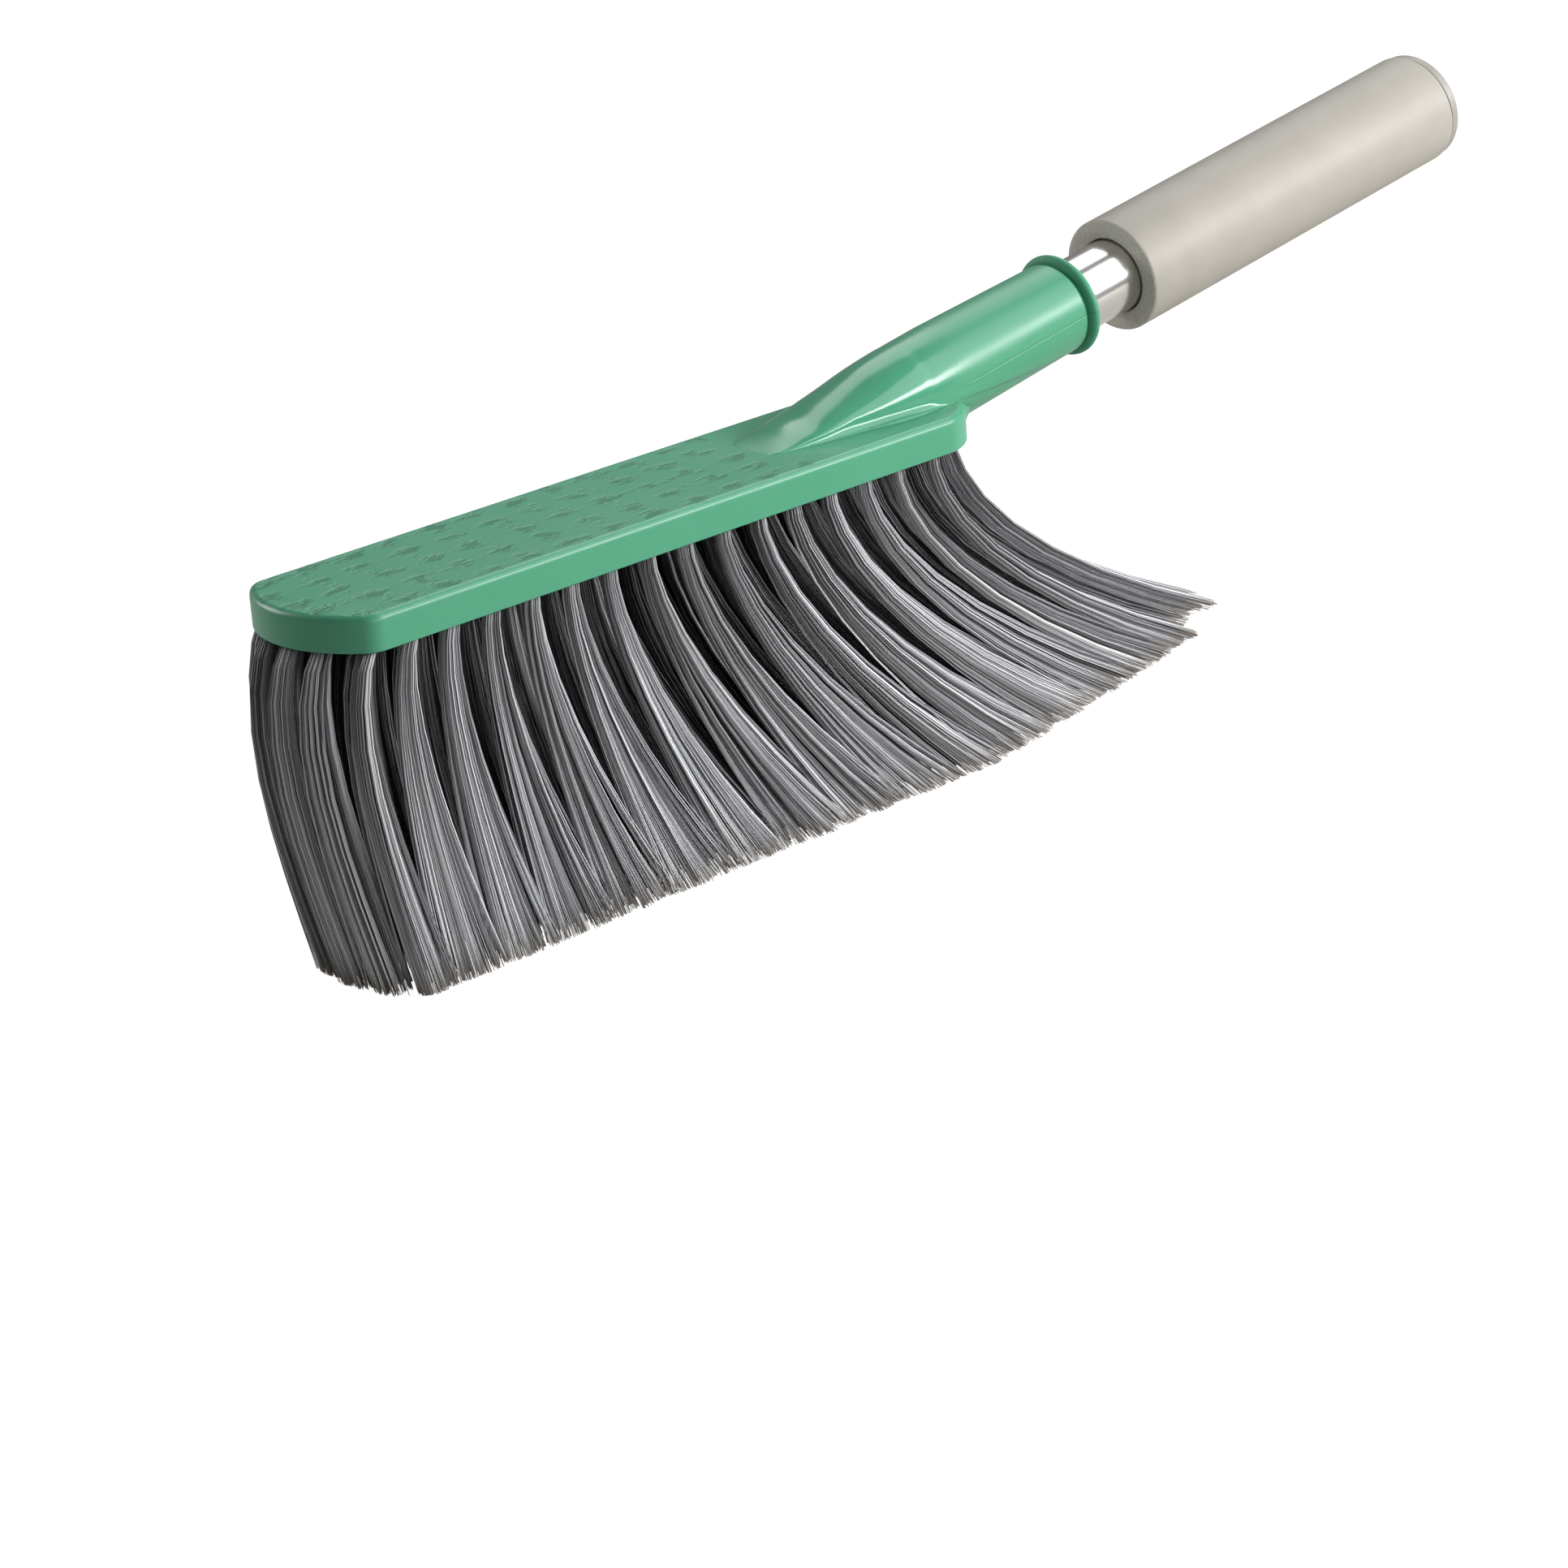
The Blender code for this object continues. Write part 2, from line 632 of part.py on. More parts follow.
def main():
    clear_scene()
    collection = new_collection("dusting_brush")
    cutters = new_collection("cutters")
    green = plastic("green_plastic", (0.09, 0.4, 0.25), 0.22)
    filament = plastic("grey_filament", (0.2, 0.2, 0.21), 0.45)
    steel = plastic("polished_steel", (0.78, 0.78, 0.8), 0.12, 1.0)
    foam = plastic("warm_grey_foam", (0.53, 0.51, 0.47), 0.6)
    cap = plastic("grey_plastic", (0.35, 0.34, 0.32), 0.4)

    frame = bpy.data.objects.new("head_frame", None)
    handle = bpy.data.objects.new("handle_axis", None)
    for empty in (frame, handle):
        collection.objects.link(empty)
    handle.parent = frame
    handle.location = (AXIS_START, 0.0, AXIS_HEIGHT)
    handle.rotation_euler = (0.0, math.pi / 2 - AXIS_RISE, 0.0)

    pieces = [make_head(collection, cutters, frame, handle, green)]
    section = three_sided_section(cutters)
    for number in range(RANK_COUNT):
        pieces.append(make_rank(number, section, collection, cutters, frame, filament))
    pieces.append(make_tube(collection, handle, steel))
    pieces.append(make_grip(collection, handle, foam))
    pieces.append(make_plug(collection, handle, cap))
    place = stand_over_origin(frame, pieces)
    print("head frame at", tuple(round(value, 6) for value in place))


main()
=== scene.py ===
# %% [markdown]
# # Dressing a dusting brush
#
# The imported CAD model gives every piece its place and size. This lesson makes the pieces that the eye lands
# on: the glossy green moulding, some eighteen thousand bristles, the polished tube and the foam sleeve.
# Everything is in metres. The brush stands on its trimmed bristle tips, with its handle towards +X.

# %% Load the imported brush
import math

import bmesh
import bpy
import numpy as np
from mathutils import Matrix, Vector


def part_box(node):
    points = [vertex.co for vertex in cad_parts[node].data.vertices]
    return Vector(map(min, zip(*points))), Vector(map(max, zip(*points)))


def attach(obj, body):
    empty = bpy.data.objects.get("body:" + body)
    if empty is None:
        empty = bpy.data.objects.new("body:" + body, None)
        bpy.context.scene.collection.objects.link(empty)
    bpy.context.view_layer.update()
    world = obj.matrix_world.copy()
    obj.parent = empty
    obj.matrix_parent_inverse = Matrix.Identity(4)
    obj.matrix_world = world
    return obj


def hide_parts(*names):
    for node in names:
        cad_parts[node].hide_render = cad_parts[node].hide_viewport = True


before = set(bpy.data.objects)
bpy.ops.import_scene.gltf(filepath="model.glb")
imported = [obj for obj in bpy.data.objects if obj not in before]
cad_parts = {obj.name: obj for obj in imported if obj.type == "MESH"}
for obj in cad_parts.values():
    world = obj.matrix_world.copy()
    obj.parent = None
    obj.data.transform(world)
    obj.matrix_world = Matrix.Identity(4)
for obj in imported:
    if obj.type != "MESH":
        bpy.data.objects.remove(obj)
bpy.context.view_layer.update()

# %% [markdown]
# ## A frame for the head
#
# All the measures of the head are easiest to think of from one corner of the block: x from the toe's corners
# towards the handle, y from the middle plane and z from the block's underside. The CAD head's box says where
# that point is, so the dressed pieces land exactly on the CAD.

# %% Sizes of the moulding
BLOCK_LENGTH = 0.178
HALF_WIDTH = 0.0214
BLOCK_THICKNESS = 0.0085
TOE_BOW = 0.0093
HEEL_BOW = 0.0165
AXIS_START = Vector((0.1295, 0.0, 0.002))
AXIS_RISE = math.radians(8.9)
TUBE_RADIUS = 0.0095
CLEARANCE = 0.0003

head_low, head_high = (Vector(corner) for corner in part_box("brush_head"))
HEAD_ORIGIN = Vector((head_low.x + TOE_BOW, (head_low.y + head_high.y) / 2, head_low.z))
HEAD_FRAME = Matrix.Translation(HEAD_ORIGIN)
AXIS_FRAME = HEAD_FRAME @ Matrix.Translation(AXIS_START) @ Matrix.Rotation(math.pi / 2 - AXIS_RISE, 4, "Y")
print("head origin", [round(value, 5) for value in HEAD_ORIGIN])

# %% [markdown]
# ## The camera
#
# The photograph was taken from the toe's end, a little above the brush and a metre away, with a long lens.
# The place and the three directions of the camera come from lining up measured corners of the block and rings
# of the handle with their places in the picture.

# %% Camera
CAMERA_PLACE = Vector((-0.5957, -0.7883, 0.3151))
CAMERA_RIGHT = Vector((0.7143, -0.6963, -0.0698))
CAMERA_UP = Vector((0.2859, 0.1993, 0.9373))
SENSOR_WIDTH = 36.0
LENS = 109.47

camera_data = bpy.data.cameras.new("camera")
camera_data.sensor_width = SENSOR_WIDTH
camera_data.lens = LENS
camera_data.clip_end = 50.0
camera = bpy.data.objects.new("camera", camera_data)
bpy.context.scene.collection.objects.link(camera)
camera_back = CAMERA_RIGHT.cross(CAMERA_UP).normalized()
camera_up = camera_back.cross(CAMERA_RIGHT).normalized()
turn = Matrix((CAMERA_RIGHT.normalized(), camera_up, camera_back)).transposed()
camera.matrix_world = Matrix.Translation(HEAD_ORIGIN + CAMERA_PLACE) @ turn.to_4x4()
bpy.context.scene.camera = camera
print("camera at", [round(value, 3) for value in camera.location])

# %% [markdown]
# ## Shader sums in Python
#
# A material is a graph of nodes, and graphs are hard to read as text. Wrapping a socket in a small class lets
# Python's own operators add the Math nodes, so a mask reads like the sum that it is. Every other node comes
# from one method, which takes its settings first and then what goes into its sockets. A material and the
# world are graphs alike, so both use them.


# %% Sockets and finishes
class Wire:
    """The output of a node, which Python's operators can do sums with."""

    def __init__(self, graph, socket):
        self.graph = graph
        self.socket = socket

    def sum(self, operation, *values):
        return self.graph.node("ShaderNodeMath", {"operation": operation}, dict(enumerate(values)))

    def __add__(self, other):
        return self.sum("ADD", self, other)

    def __sub__(self, other):
        return self.sum("SUBTRACT", self, other)

    def __rsub__(self, other):
        return self.sum("SUBTRACT", other, self)

    def __mul__(self, other):
        return self.sum("MULTIPLY", self, other)

    def __truediv__(self, other):
        return self.sum("DIVIDE", self, other)

    def __rtruediv__(self, other):
        return self.sum("DIVIDE", other, self)

    def __lt__(self, other):
        return self.sum("LESS_THAN", self, other)

    def __gt__(self, other):
        return self.sum("GREATER_THAN", self, other)

    def __abs__(self):
        return self.sum("ABSOLUTE", self)

    __radd__ = __add__
    __rmul__ = __mul__


class Graph:
    """A tree of nodes, which a material or the world owns."""

    def __init__(self, tree):
        self.tree = tree

    def node(self, kind, settings=None, inputs=None, out=0):
        made = self.tree.nodes.new(kind)
        for name, value in (settings or {}).items():
            if name == "stops":
                self.set_stops(made.color_ramp, value)
            else:
                setattr(made, name, value)
        for name, value in (inputs or {}).items():
            self.join(made.inputs[name], value)
        return Wire(self, made.outputs[out])

    def set_stops(self, ramp, stops):
        while len(ramp.elements) < len(stops):
            ramp.elements.new(1.0)
        for element, (place, colour) in zip(ramp.elements, stops):
            element.position = place
            element.color = (*colour, 1.0)

    def join(self, socket, value):
        if isinstance(value, Wire):
            self.tree.links.new(value.socket, socket)
        else:
            socket.default_value = value

    def ray(self, kind):
        """1 for a ray of this kind and 0 for the others."""
        return self.node("ShaderNodeLightPath", out=f"Is {kind} Ray")


class Finish(Graph):
    """A material with one Principled shader, built node by node."""

    def __init__(self, name, **constants):
        self.material = bpy.data.materials.new(name)
        self.material.use_nodes = True
        super().__init__(self.material.node_tree)
        self.shader = self.tree.nodes["Principled BSDF"]
        for socket, value in constants.items():
            self.shader.inputs[socket.replace("_", " ")].default_value = value

    def set(self, socket, wire):
        self.join(self.shader.inputs[socket], wire)

    def place(self, axis=None):
        """The point's own place, or one of its three numbers."""
        point = self.node("ShaderNodeTexCoord", out="Object")
        if axis is None:
            return point
        return self.node("ShaderNodeSeparateXYZ", {}, {0: point}, out=axis)

    def far_along(self, direction, start):
        """How far the point lies along a direction, from a starting point."""
        inputs = {0: self.place(), 1: direction}
        reached = self.node("ShaderNodeVectorMath", {"operation": "DOT_PRODUCT"}, inputs, out="Value")
        return reached - direction.dot(start)

    def noise(self, scale, detail=2.0, roughness=0.5, vector=None):
        """Soft noise from 0 to 1, with so many lumps to the metre."""
        inputs = {"Scale": scale, "Detail": detail, "Roughness": roughness, "Vector": vector or self.place()}
        return self.node("ShaderNodeTexNoise", {}, inputs)

    def stretched(self, scale):
        """The point's place, squeezed or drawn out along the three axes."""
        return self.node("ShaderNodeMapping", {}, {"Vector": self.place(), "Scale": scale})

    def ramp(self, wire, low, high):
        """0 below the low value, 1 above the high one and a smooth rise between."""
        settings = {"interpolation_type": "SMOOTHSTEP"}
        return self.node("ShaderNodeMapRange", settings, {"Value": wire, "From Min": low, "From Max": high})

    def mix(self, factor, first, second):
        """A colour between two, by a factor. The node keeps its colours in sockets 6 and 7."""
        inputs = {0: factor, 6: colour4(first), 7: colour4(second)}
        return self.node("ShaderNodeMix", {"data_type": "RGBA"}, inputs, out=2)

    def bump(self, height, distance, strength=1.0):
        return self.node("ShaderNodeBump", {}, {"Height": height, "Distance": distance, "Strength": strength})


def colour4(value):
    return value if isinstance(value, Wire) else (*value, 1.0)


def from_srgb(red, green, blue):
    """A colour as a picture shows it, from 0 to 255, turned into the light that a shader wants."""
    shares = [part / 255 for part in (red, green, blue)]
    return tuple(s / 12.92 if s <= 0.04045 else ((s + 0.055) / 1.055) ** 2.4 for s in shares)


print("finishes ready")

# %% [markdown]
# ## From bmesh to a finished piece
#
# Each piece is modelled in the head's frame or on the handle's axis. Its place is then put into the mesh
# itself, because the export sets every object at the origin. Weighted normals keep the wide flats flat where
# a rounded edge meets them.


# %% Helpers for pieces
def mesh_from(bm, name, place=HEAD_FRAME):
    bmesh.ops.recalc_face_normals(bm, faces=bm.faces)
    bmesh.ops.transform(bm, matrix=place, verts=bm.verts)
    mesh = bpy.data.meshes.new(name)
    bm.to_mesh(mesh)
    bm.free()
    return mesh


def new_object(name, mesh):
    made = bpy.data.objects.new(name, mesh)
    bpy.context.scene.collection.objects.link(made)
    return made


def smooth(mesh, limit=35.0):
    mesh.shade_smooth()
    mesh.set_sharp_from_angle(angle=math.radians(limit))


def settle(piece):
    """Applies a piece's modifiers, so that only the finished mesh is left."""
    graph = bpy.context.evaluated_depsgraph_get()
    mesh = bpy.data.meshes.new_from_object(piece.evaluated_get(graph))
    mesh.name = piece.name
    piece.modifiers.clear()
    piece.data = mesh
    return mesh


def weigh_normals(piece):
    step = piece.modifiers.new("even_flats", "WEIGHTED_NORMAL")
    step.keep_sharp = True
    settle(piece)


def hand_over(piece, finish, slot, *nodes):
    """Gives a piece its finish, lets it ride on the brush and hides the CAD nodes that it stands for."""
    piece.data.materials.clear()
    piece.data.materials.append(finish.material)
    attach(piece, "root")
    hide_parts(*nodes)
    piece.data.calc_loop_triangles()
    print(piece.name, "has", len(piece.data.loop_triangles), "triangles")


# %% [markdown]
# ## The block
#
# The block is a flat bar with two bowed ends, the one at the handle much rounder. Each end is one vertex spun
# about three centres in turn: a corner's round, the wide bow and the other corner's round. The three arcs
# meet without a kink, so the corners catch a soft gleam. A bevel on a corner of this outline would run over
# the short steps of the bow and leave a nick. Joined, filled and pulled up, the outline gives the bar, and
# bevels soften its edges: a wide one round the top, where the long highlight sits, and a fine one below.

# %% Block
BOW_STEPS = 40
CORNER_STEPS = 10
TOP_EDGE_RADIUS = 0.0018
TOP_EDGE_STEPS = 8
LOW_EDGE_RADIUS = 0.00035
LOW_EDGE_STEPS = 3
TOE_CORNER_RADIUS = 0.0062
HEEL_CORNER_RADIUS = 0.0085


def bow_radius(bow):
    return (HALF_WIDTH**2 + bow**2) / (2 * bow)


def bow_at(y, bow, inset=0.0):
    radius = bow_radius(bow)
    return math.sqrt(max((radius - inset) ** 2 - y**2, 0.0)) - (radius - bow)


def spun_end(bm, corner_x, way, bow, radius):
    """Spins a vertex round one end of the block, and returns the first and last vertex of its outline.

    The way is -1 for the toe and 1 for the heel.
    """
    big = bow_radius(bow)
    bow_x = corner_x + way * (bow - big)
    out = math.sqrt((big - radius) ** 2 - (HALF_WIDTH - radius) ** 2)
    lean = math.atan2(HALF_WIDTH - radius, out)
    round_x = bow_x + way * out
    arcs = (
        ((round_x, -way * (HALF_WIDTH - radius), 0.0), math.pi / 2 - lean, CORNER_STEPS),
        ((bow_x, 0.0, 0.0), 2 * lean, BOW_STEPS),
        ((round_x, way * (HALF_WIDTH - radius), 0.0), math.pi / 2 - lean, CORNER_STEPS),
    )
    start = end = bm.verts.new((round_x, -way * HALF_WIDTH, 0.0))
    for centre, angle, steps in arcs:
        spun = bmesh.ops.spin(bm, geom=[end], cent=centre, axis=(0.0, 0.0, 1.0), angle=angle, steps=steps)
        end = next(item for item in spun["geom_last"] if isinstance(item, bmesh.types.BMVert))
    return start, end


def bevel_edges(bm, edges, radius, segments):
    bmesh.ops.bevel(
        bm, geom=edges, offset=radius, segments=segments, profile=0.5, affect="EDGES", material=-1
    )


def rim_edges(bm, height):
    """The edges all round the block at one height."""
    return [
        edge
        for edge in bm.edges
        if all(abs(v.co.z - height) < 1e-6 for v in edge.verts)
        and {round(abs(face.normal.z)) for face in edge.link_faces} == {0, 1}
    ]


def model_block():
    bm = bmesh.new()
    toe_start, toe_end = spun_end(bm, 0.0, -1, TOE_BOW, TOE_CORNER_RADIUS)
    heel_start, heel_end = spun_end(bm, BLOCK_LENGTH, 1, HEEL_BOW, HEEL_CORNER_RADIUS)
    bm.edges.new((toe_end, heel_start))
    bm.edges.new((heel_end, toe_start))
    bmesh.ops.contextual_create(bm, geom=bm.edges[:])
    raised = bmesh.ops.extrude_face_region(bm, geom=bm.faces[:])
    top = [item for item in raised["geom"] if isinstance(item, bmesh.types.BMVert)]
    bmesh.ops.translate(bm, vec=(0.0, 0.0, BLOCK_THICKNESS), verts=top)
    bmesh.ops.recalc_face_normals(bm, faces=bm.faces)
    bevel_edges(bm, rim_edges(bm, BLOCK_THICKNESS), TOP_EDGE_RADIUS, TOP_EDGE_STEPS)
    bevel_edges(bm, rim_edges(bm, 0.0), LOW_EDGE_RADIUS, LOW_EDGE_STEPS)
    return bm


block = new_object("block", mesh_from(model_block(), "block"))
print("block faces", len(block.data.polygons))

# %% [markdown]
# ## The neck and the socket
#
# The neck starts narrow and flat on the block's top, swells into a saddle and ends as a round socket. Its
# sections are too unlike for a sweep, so it is a loft: a circle of vertices at each station is pulled into
# that station's section, and neighbouring circles are bridged. The sections come from a short table of widths
# and heights, read through a smooth curve so that reflections run along the neck without a kink.

# %% Sections of the neck
RING_POINTS = 96
QUARTER = RING_POINTS // 4
NECK_START = 0.129
NECK_END = 0.1892
SADDLE_HALF_WIDTH = 0.0123
RIDGE_LIFT = 0.0151
FOOT_RADIUS = 0.0024
FOOT_FLARE = 0.0012
FOOT_SINK = 0.0002
FOOT_SHARE = 0.35  # the fillet's radius against the ridge's height, where the ridge is low
FOOT_FLARE_SHARES = (0.45, 0.8)  # along the neck, where the fillet grows wider
FOOT_END_SHARES = (0.74, 1.0)  # where it fades away
FOOT_STEPS = 8
NECK_DEPTH = 0.0015
NECK_END_HEIGHT = 0.0006
# Along the neck: how far along, how wide and how high, each as a share of the whole
NECK_TABLE = np.array(
    (
        (0.0, 0.3, -0.03),
        (0.04, 0.48, 0.0),
        (0.083, 0.6, 0.035),
        (0.15, 0.68, 0.105),
        (0.216, 0.73, 0.18),
        (0.3, 0.77, 0.265),
        (0.382, 0.8, 0.37),
        (0.465, 0.835, 0.475),
        (0.548, 0.88, 0.58),
        (0.68, 0.955, 0.74),
        (0.78, 0.985, 0.84),
        (0.88, 1.0, 0.925),
        (1.0, 1.0, 1.01),
    )
)
NECK_STATIONS = 56


def smooth_read(table, column, share):
    """Reads a table between its rows along a curve that has no kinks."""
    places, values = table[:, 0], table[:, column]
    slopes = np.gradient(values, places)
    row = int(np.clip(np.searchsorted(places, share) - 1, 0, len(places) - 2))
    step = places[row + 1] - places[row]
    t = (share - places[row]) / step
    first = (1 + 2 * t) * (1 - t) ** 2 * values[row] + t * (1 - t) ** 2 * step * slopes[row]
    second = t * t * (3 - 2 * t) * values[row + 1] + t * t * (t - 1) * step * slopes[row + 1]
    return float(first + second)


def ease(value, start, end):
    share = min(max((value - start) / (end - start), 0.0), 1.0)
    return share * share * (3 - 2 * share)


def saddle_section(share):
    """One section of the neck: an arch on two flanks, with a filleted foot sunk just into the block's top."""
    x = NECK_START + (NECK_END - NECK_START) * share
    half = SADDLE_HALF_WIDTH * smooth_read(NECK_TABLE, 1, share)
    lift = RIDGE_LIFT * smooth_read(NECK_TABLE, 2, share)
    ridge = BLOCK_THICKNESS + lift
    fade = 1 - ease(share, *FOOT_END_SHARES)
    radius = FOOT_RADIUS + FOOT_FLARE * ease(share, *FOOT_FLARE_SHARES)
    foot = max(min(radius, FOOT_SHARE * lift) * fade, FOOT_SINK)
    axis_height = AXIS_START.z + (x - AXIS_START.x) * math.tan(AXIS_RISE)
    foot_limit = BLOCK_THICKNESS + min(foot, FOOT_RADIUS)
    spring = max(axis_height, foot_limit) if lift > foot else ridge - foot
    under = NECK_END_HEIGHT if share == 1.0 else BLOCK_THICKNESS - NECK_DEPTH
    side = []
    for step in range(QUARTER + 1):
        angle = math.pi / 2 * step / QUARTER
        side.append((half * math.sin(angle), spring + (ridge - spring) * math.cos(angle)))
    foot_top = min(BLOCK_THICKNESS + foot, spring)
    side += [(half, spring + (foot_top - spring) * down) for down in (1 / 3, 2 / 3, 1.0)]
    drop = foot_top - BLOCK_THICKNESS + FOOT_SINK
    for step in range(1, FOOT_STEPS + 1):
        angle = math.pi / 2 * step / FOOT_STEPS
        side.append((half + foot * (1 - math.cos(angle)), foot_top - drop * math.sin(angle)))
    outer, left = side[-1][0], 2 * QUARTER + 1 - len(side)
    side += [(outer * (left - 1 - step) / (left - 1), under) for step in range(left)]
    near = [Vector((x, -y, z)) for y, z in side]
    return near + [Vector((p.x, -p.y, p.z)) for p in reversed(near[1:-1])]


def round_section(along, radius):
    """A circle round the handle's axis, which starts at the top and goes round by the near side."""
    angles = [2 * math.pi * step / RING_POINTS for step in range(RING_POINTS)]
    local = [Vector((-radius * math.cos(a), -radius * math.sin(a), along)) for a in angles]
    to_head = HEAD_FRAME.inverted() @ AXIS_FRAME
    return [to_head @ point for point in local]


print("section points", len(saddle_section(0.5)), len(round_section(0.1, 0.01)))

# %% [markdown]
# The socket tapers a little, so that it leaves the mould, and it ends in a groove and a rounded bead. Between
# the last saddle and the first circle a few mixed sections let one shape flow into the other.

# %% Loft
SOCKET_START = 0.0665
SOCKET_RADIUS = 0.0123
SOCKET_MOUTH_RADIUS = 0.0116
SOCKET_END = 0.1084
SOCKET_STATIONS = 10
SOCKET_EDGE = 0.0005
EDGE_STEPS = 4
GROOVE_RADIUS = 0.0108
GROOVE_WIDTH = 0.0009
BEAD_RADIUS = 0.0131
BEAD_WIDTH = 0.0029
BEAD_STEPS = 16
BEAD_FULLNESS = 0.8  # under 1, the bead is squarer than a half round
BORE_START = 0.067


def socket_sections():
    sections = []
    for share in np.linspace(0.0, 1.0, SOCKET_STATIONS):
        along = SOCKET_START + (SOCKET_END - SOCKET_EDGE - SOCKET_START) * share
        radius = SOCKET_RADIUS + (SOCKET_MOUTH_RADIUS - SOCKET_RADIUS) * share
        sections.append(round_section(along, radius))
    for step in range(1, EDGE_STEPS + 1):
        angle = math.pi / 2 * step / EDGE_STEPS
        along = SOCKET_END - SOCKET_EDGE + SOCKET_EDGE * math.sin(angle)
        sections.append(round_section(along, SOCKET_MOUTH_RADIUS - SOCKET_EDGE * (1 - math.cos(angle))))
    sections.append(round_section(SOCKET_END, GROOVE_RADIUS))
    for step in range(BEAD_STEPS + 1):
        angle = math.pi * step / BEAD_STEPS
        along = SOCKET_END + GROOVE_WIDTH + BEAD_WIDTH / 2 * (1 - math.cos(angle))
        rise = (BEAD_RADIUS - GROOVE_RADIUS) * math.sin(angle) ** BEAD_FULLNESS
        sections.append(round_section(along, GROOVE_RADIUS + rise))
    return sections


def mixed_sections(saddle, circle, steps=5):
    """Sections between the last saddle and the first circle."""
    mixed = []
    for step in range(1, steps):
        mixed.append([a.lerp(b, step / steps) for a, b in zip(saddle, circle)])
    return mixed


def loft(sections):
    bm = bmesh.new()
    for section in sections:
        ring = bmesh.ops.create_circle(bm, segments=len(section), radius=1.0)["verts"]
        for vertex, point in zip(ring, section):
            vertex.co = point
    bm.edges.ensure_lookup_table()
    count = len(sections[0])
    loops = [list(bm.edges[i * count : (i + 1) * count]) for i in range(len(sections))]
    for near, far in zip(loops, loops[1:]):
        bmesh.ops.bridge_loops(bm, edges=near + far)
    for end in (loops[0], loops[-1]):
        bmesh.ops.contextual_create(bm, geom=end)
    return bm


saddles = [saddle_section(share) for share in np.linspace(0.0, 1.0, NECK_STATIONS)]
socket = socket_sections()
neck_mesh = mesh_from(loft(saddles + mixed_sections(saddles[-1], socket[0]) + socket), "neck")
neck = new_object("neck", neck_mesh)
print("neck faces", len(neck.data.polygons))

# %% [markdown]
# ## Holes for the tufts
#
# Each tuft is folded over a wire anchor and driven into a round hole in the underside. The holes stand in
# five rows and sixteen ranks. The first and the last rank follow the bow of their end, and the ranks between
# change from one bow to the other, so both ends are well filled.

# %% Where the tufts stand
RANK_COUNT = 16
ROW_SHARES = (-1.0, -0.5, 0.0, 0.5, 1.0)
OUTER_ROW = 0.0174
TOE_MARGIN = 0.0036
HEEL_MARGIN = 0.0047
HOLE_RADIUS = 0.0021
HOLE_DEPTH = 0.0035
HOLE_SIDES = 20
BORE_OVERRUN = 0.002  # how far the cutter reaches out of the socket's mouth
BORE_SIDES = 96


def tuft_places(rank):
    """The middle of each tuft of one rank, in the head's frame."""
    share = rank / (RANK_COUNT - 1)
    places = []
    for row_share in ROW_SHARES:
        y = OUTER_ROW * row_share
        toe = -bow_at(y, TOE_BOW, TOE_MARGIN)
        heel = BLOCK_LENGTH + bow_at(y, HEEL_BOW, HEEL_MARGIN)
        places.append((toe + (heel - toe) * share, y))
    return places


def model_holes():
    bm = bmesh.new()
    for rank in range(RANK_COUNT):
        for x, y in tuft_places(rank):
            bmesh.ops.create_cone(
                bm,
                cap_ends=True,
                segments=HOLE_SIDES,
                radius1=HOLE_RADIUS,
                radius2=HOLE_RADIUS,
                depth=2 * HOLE_DEPTH,
                matrix=Matrix.Translation((x, y, 0.0)),
            )
    return bm


def spun(profile, steps, name):
    """A body turned about the handle's axis, from a closed profile of (radius, place along the axis)."""
    bm = bmesh.new()
    corners = [bm.verts.new((radius, 0.0, along)) for radius, along in profile]
    for first, second in zip(corners, corners[1:]):
        bm.edges.new((first, second))
    if profile[0][0] > 0.0:
        bm.edges.new((corners[-1], corners[0]))
    bmesh.ops.spin(
        bm,
        geom=bm.verts[:] + bm.edges[:],
        cent=(0.0, 0.0, 0.0),
        axis=(0.0, 0.0, 1.0),
        angle=2 * math.pi,
        steps=steps,
        use_merge=True,
    )
    bmesh.ops.remove_doubles(bm, verts=bm.verts, dist=1e-6)
    return mesh_from(bm, name, AXIS_FRAME)


holes = new_object("holes", mesh_from(model_holes(), "holes"))
bore_radius = TUBE_RADIUS + CLEARANCE
bore_end = SOCKET_END + GROOVE_WIDTH + BEAD_WIDTH + BORE_OVERRUN
bore_profile = [(0.0, bore_end), (bore_radius, bore_end), (bore_radius, BORE_START), (0.0, BORE_START)]
bore = new_object("bore", spun(bore_profile, BORE_SIDES, "bore"))
print("holes", RANK_COUNT * len(ROW_SHARES))

# %% [markdown]
# The block and the neck come out of one mould, so they are joined into one skin, and the holes and the bore
# are cut out of it. The cutters have done their work then and are removed.

# %% One moulding
def combine(piece, cutter, operation):
    step = piece.modifiers.new(cutter.name, "BOOLEAN")
    step.operation = operation
    step.object = cutter
    step.solver = "EXACT"


head = block
head.name = "moulded_head"
combine(head, neck, "UNION")
combine(head, bore, "DIFFERENCE")
combine(head, holes, "DIFFERENCE")
settle(head)
for cutter in (neck, bore, holes):
    bpy.data.objects.remove(cutter)
smooth(head.data)
weigh_normals(head)
print("moulded head faces", len(head.data.polygons))
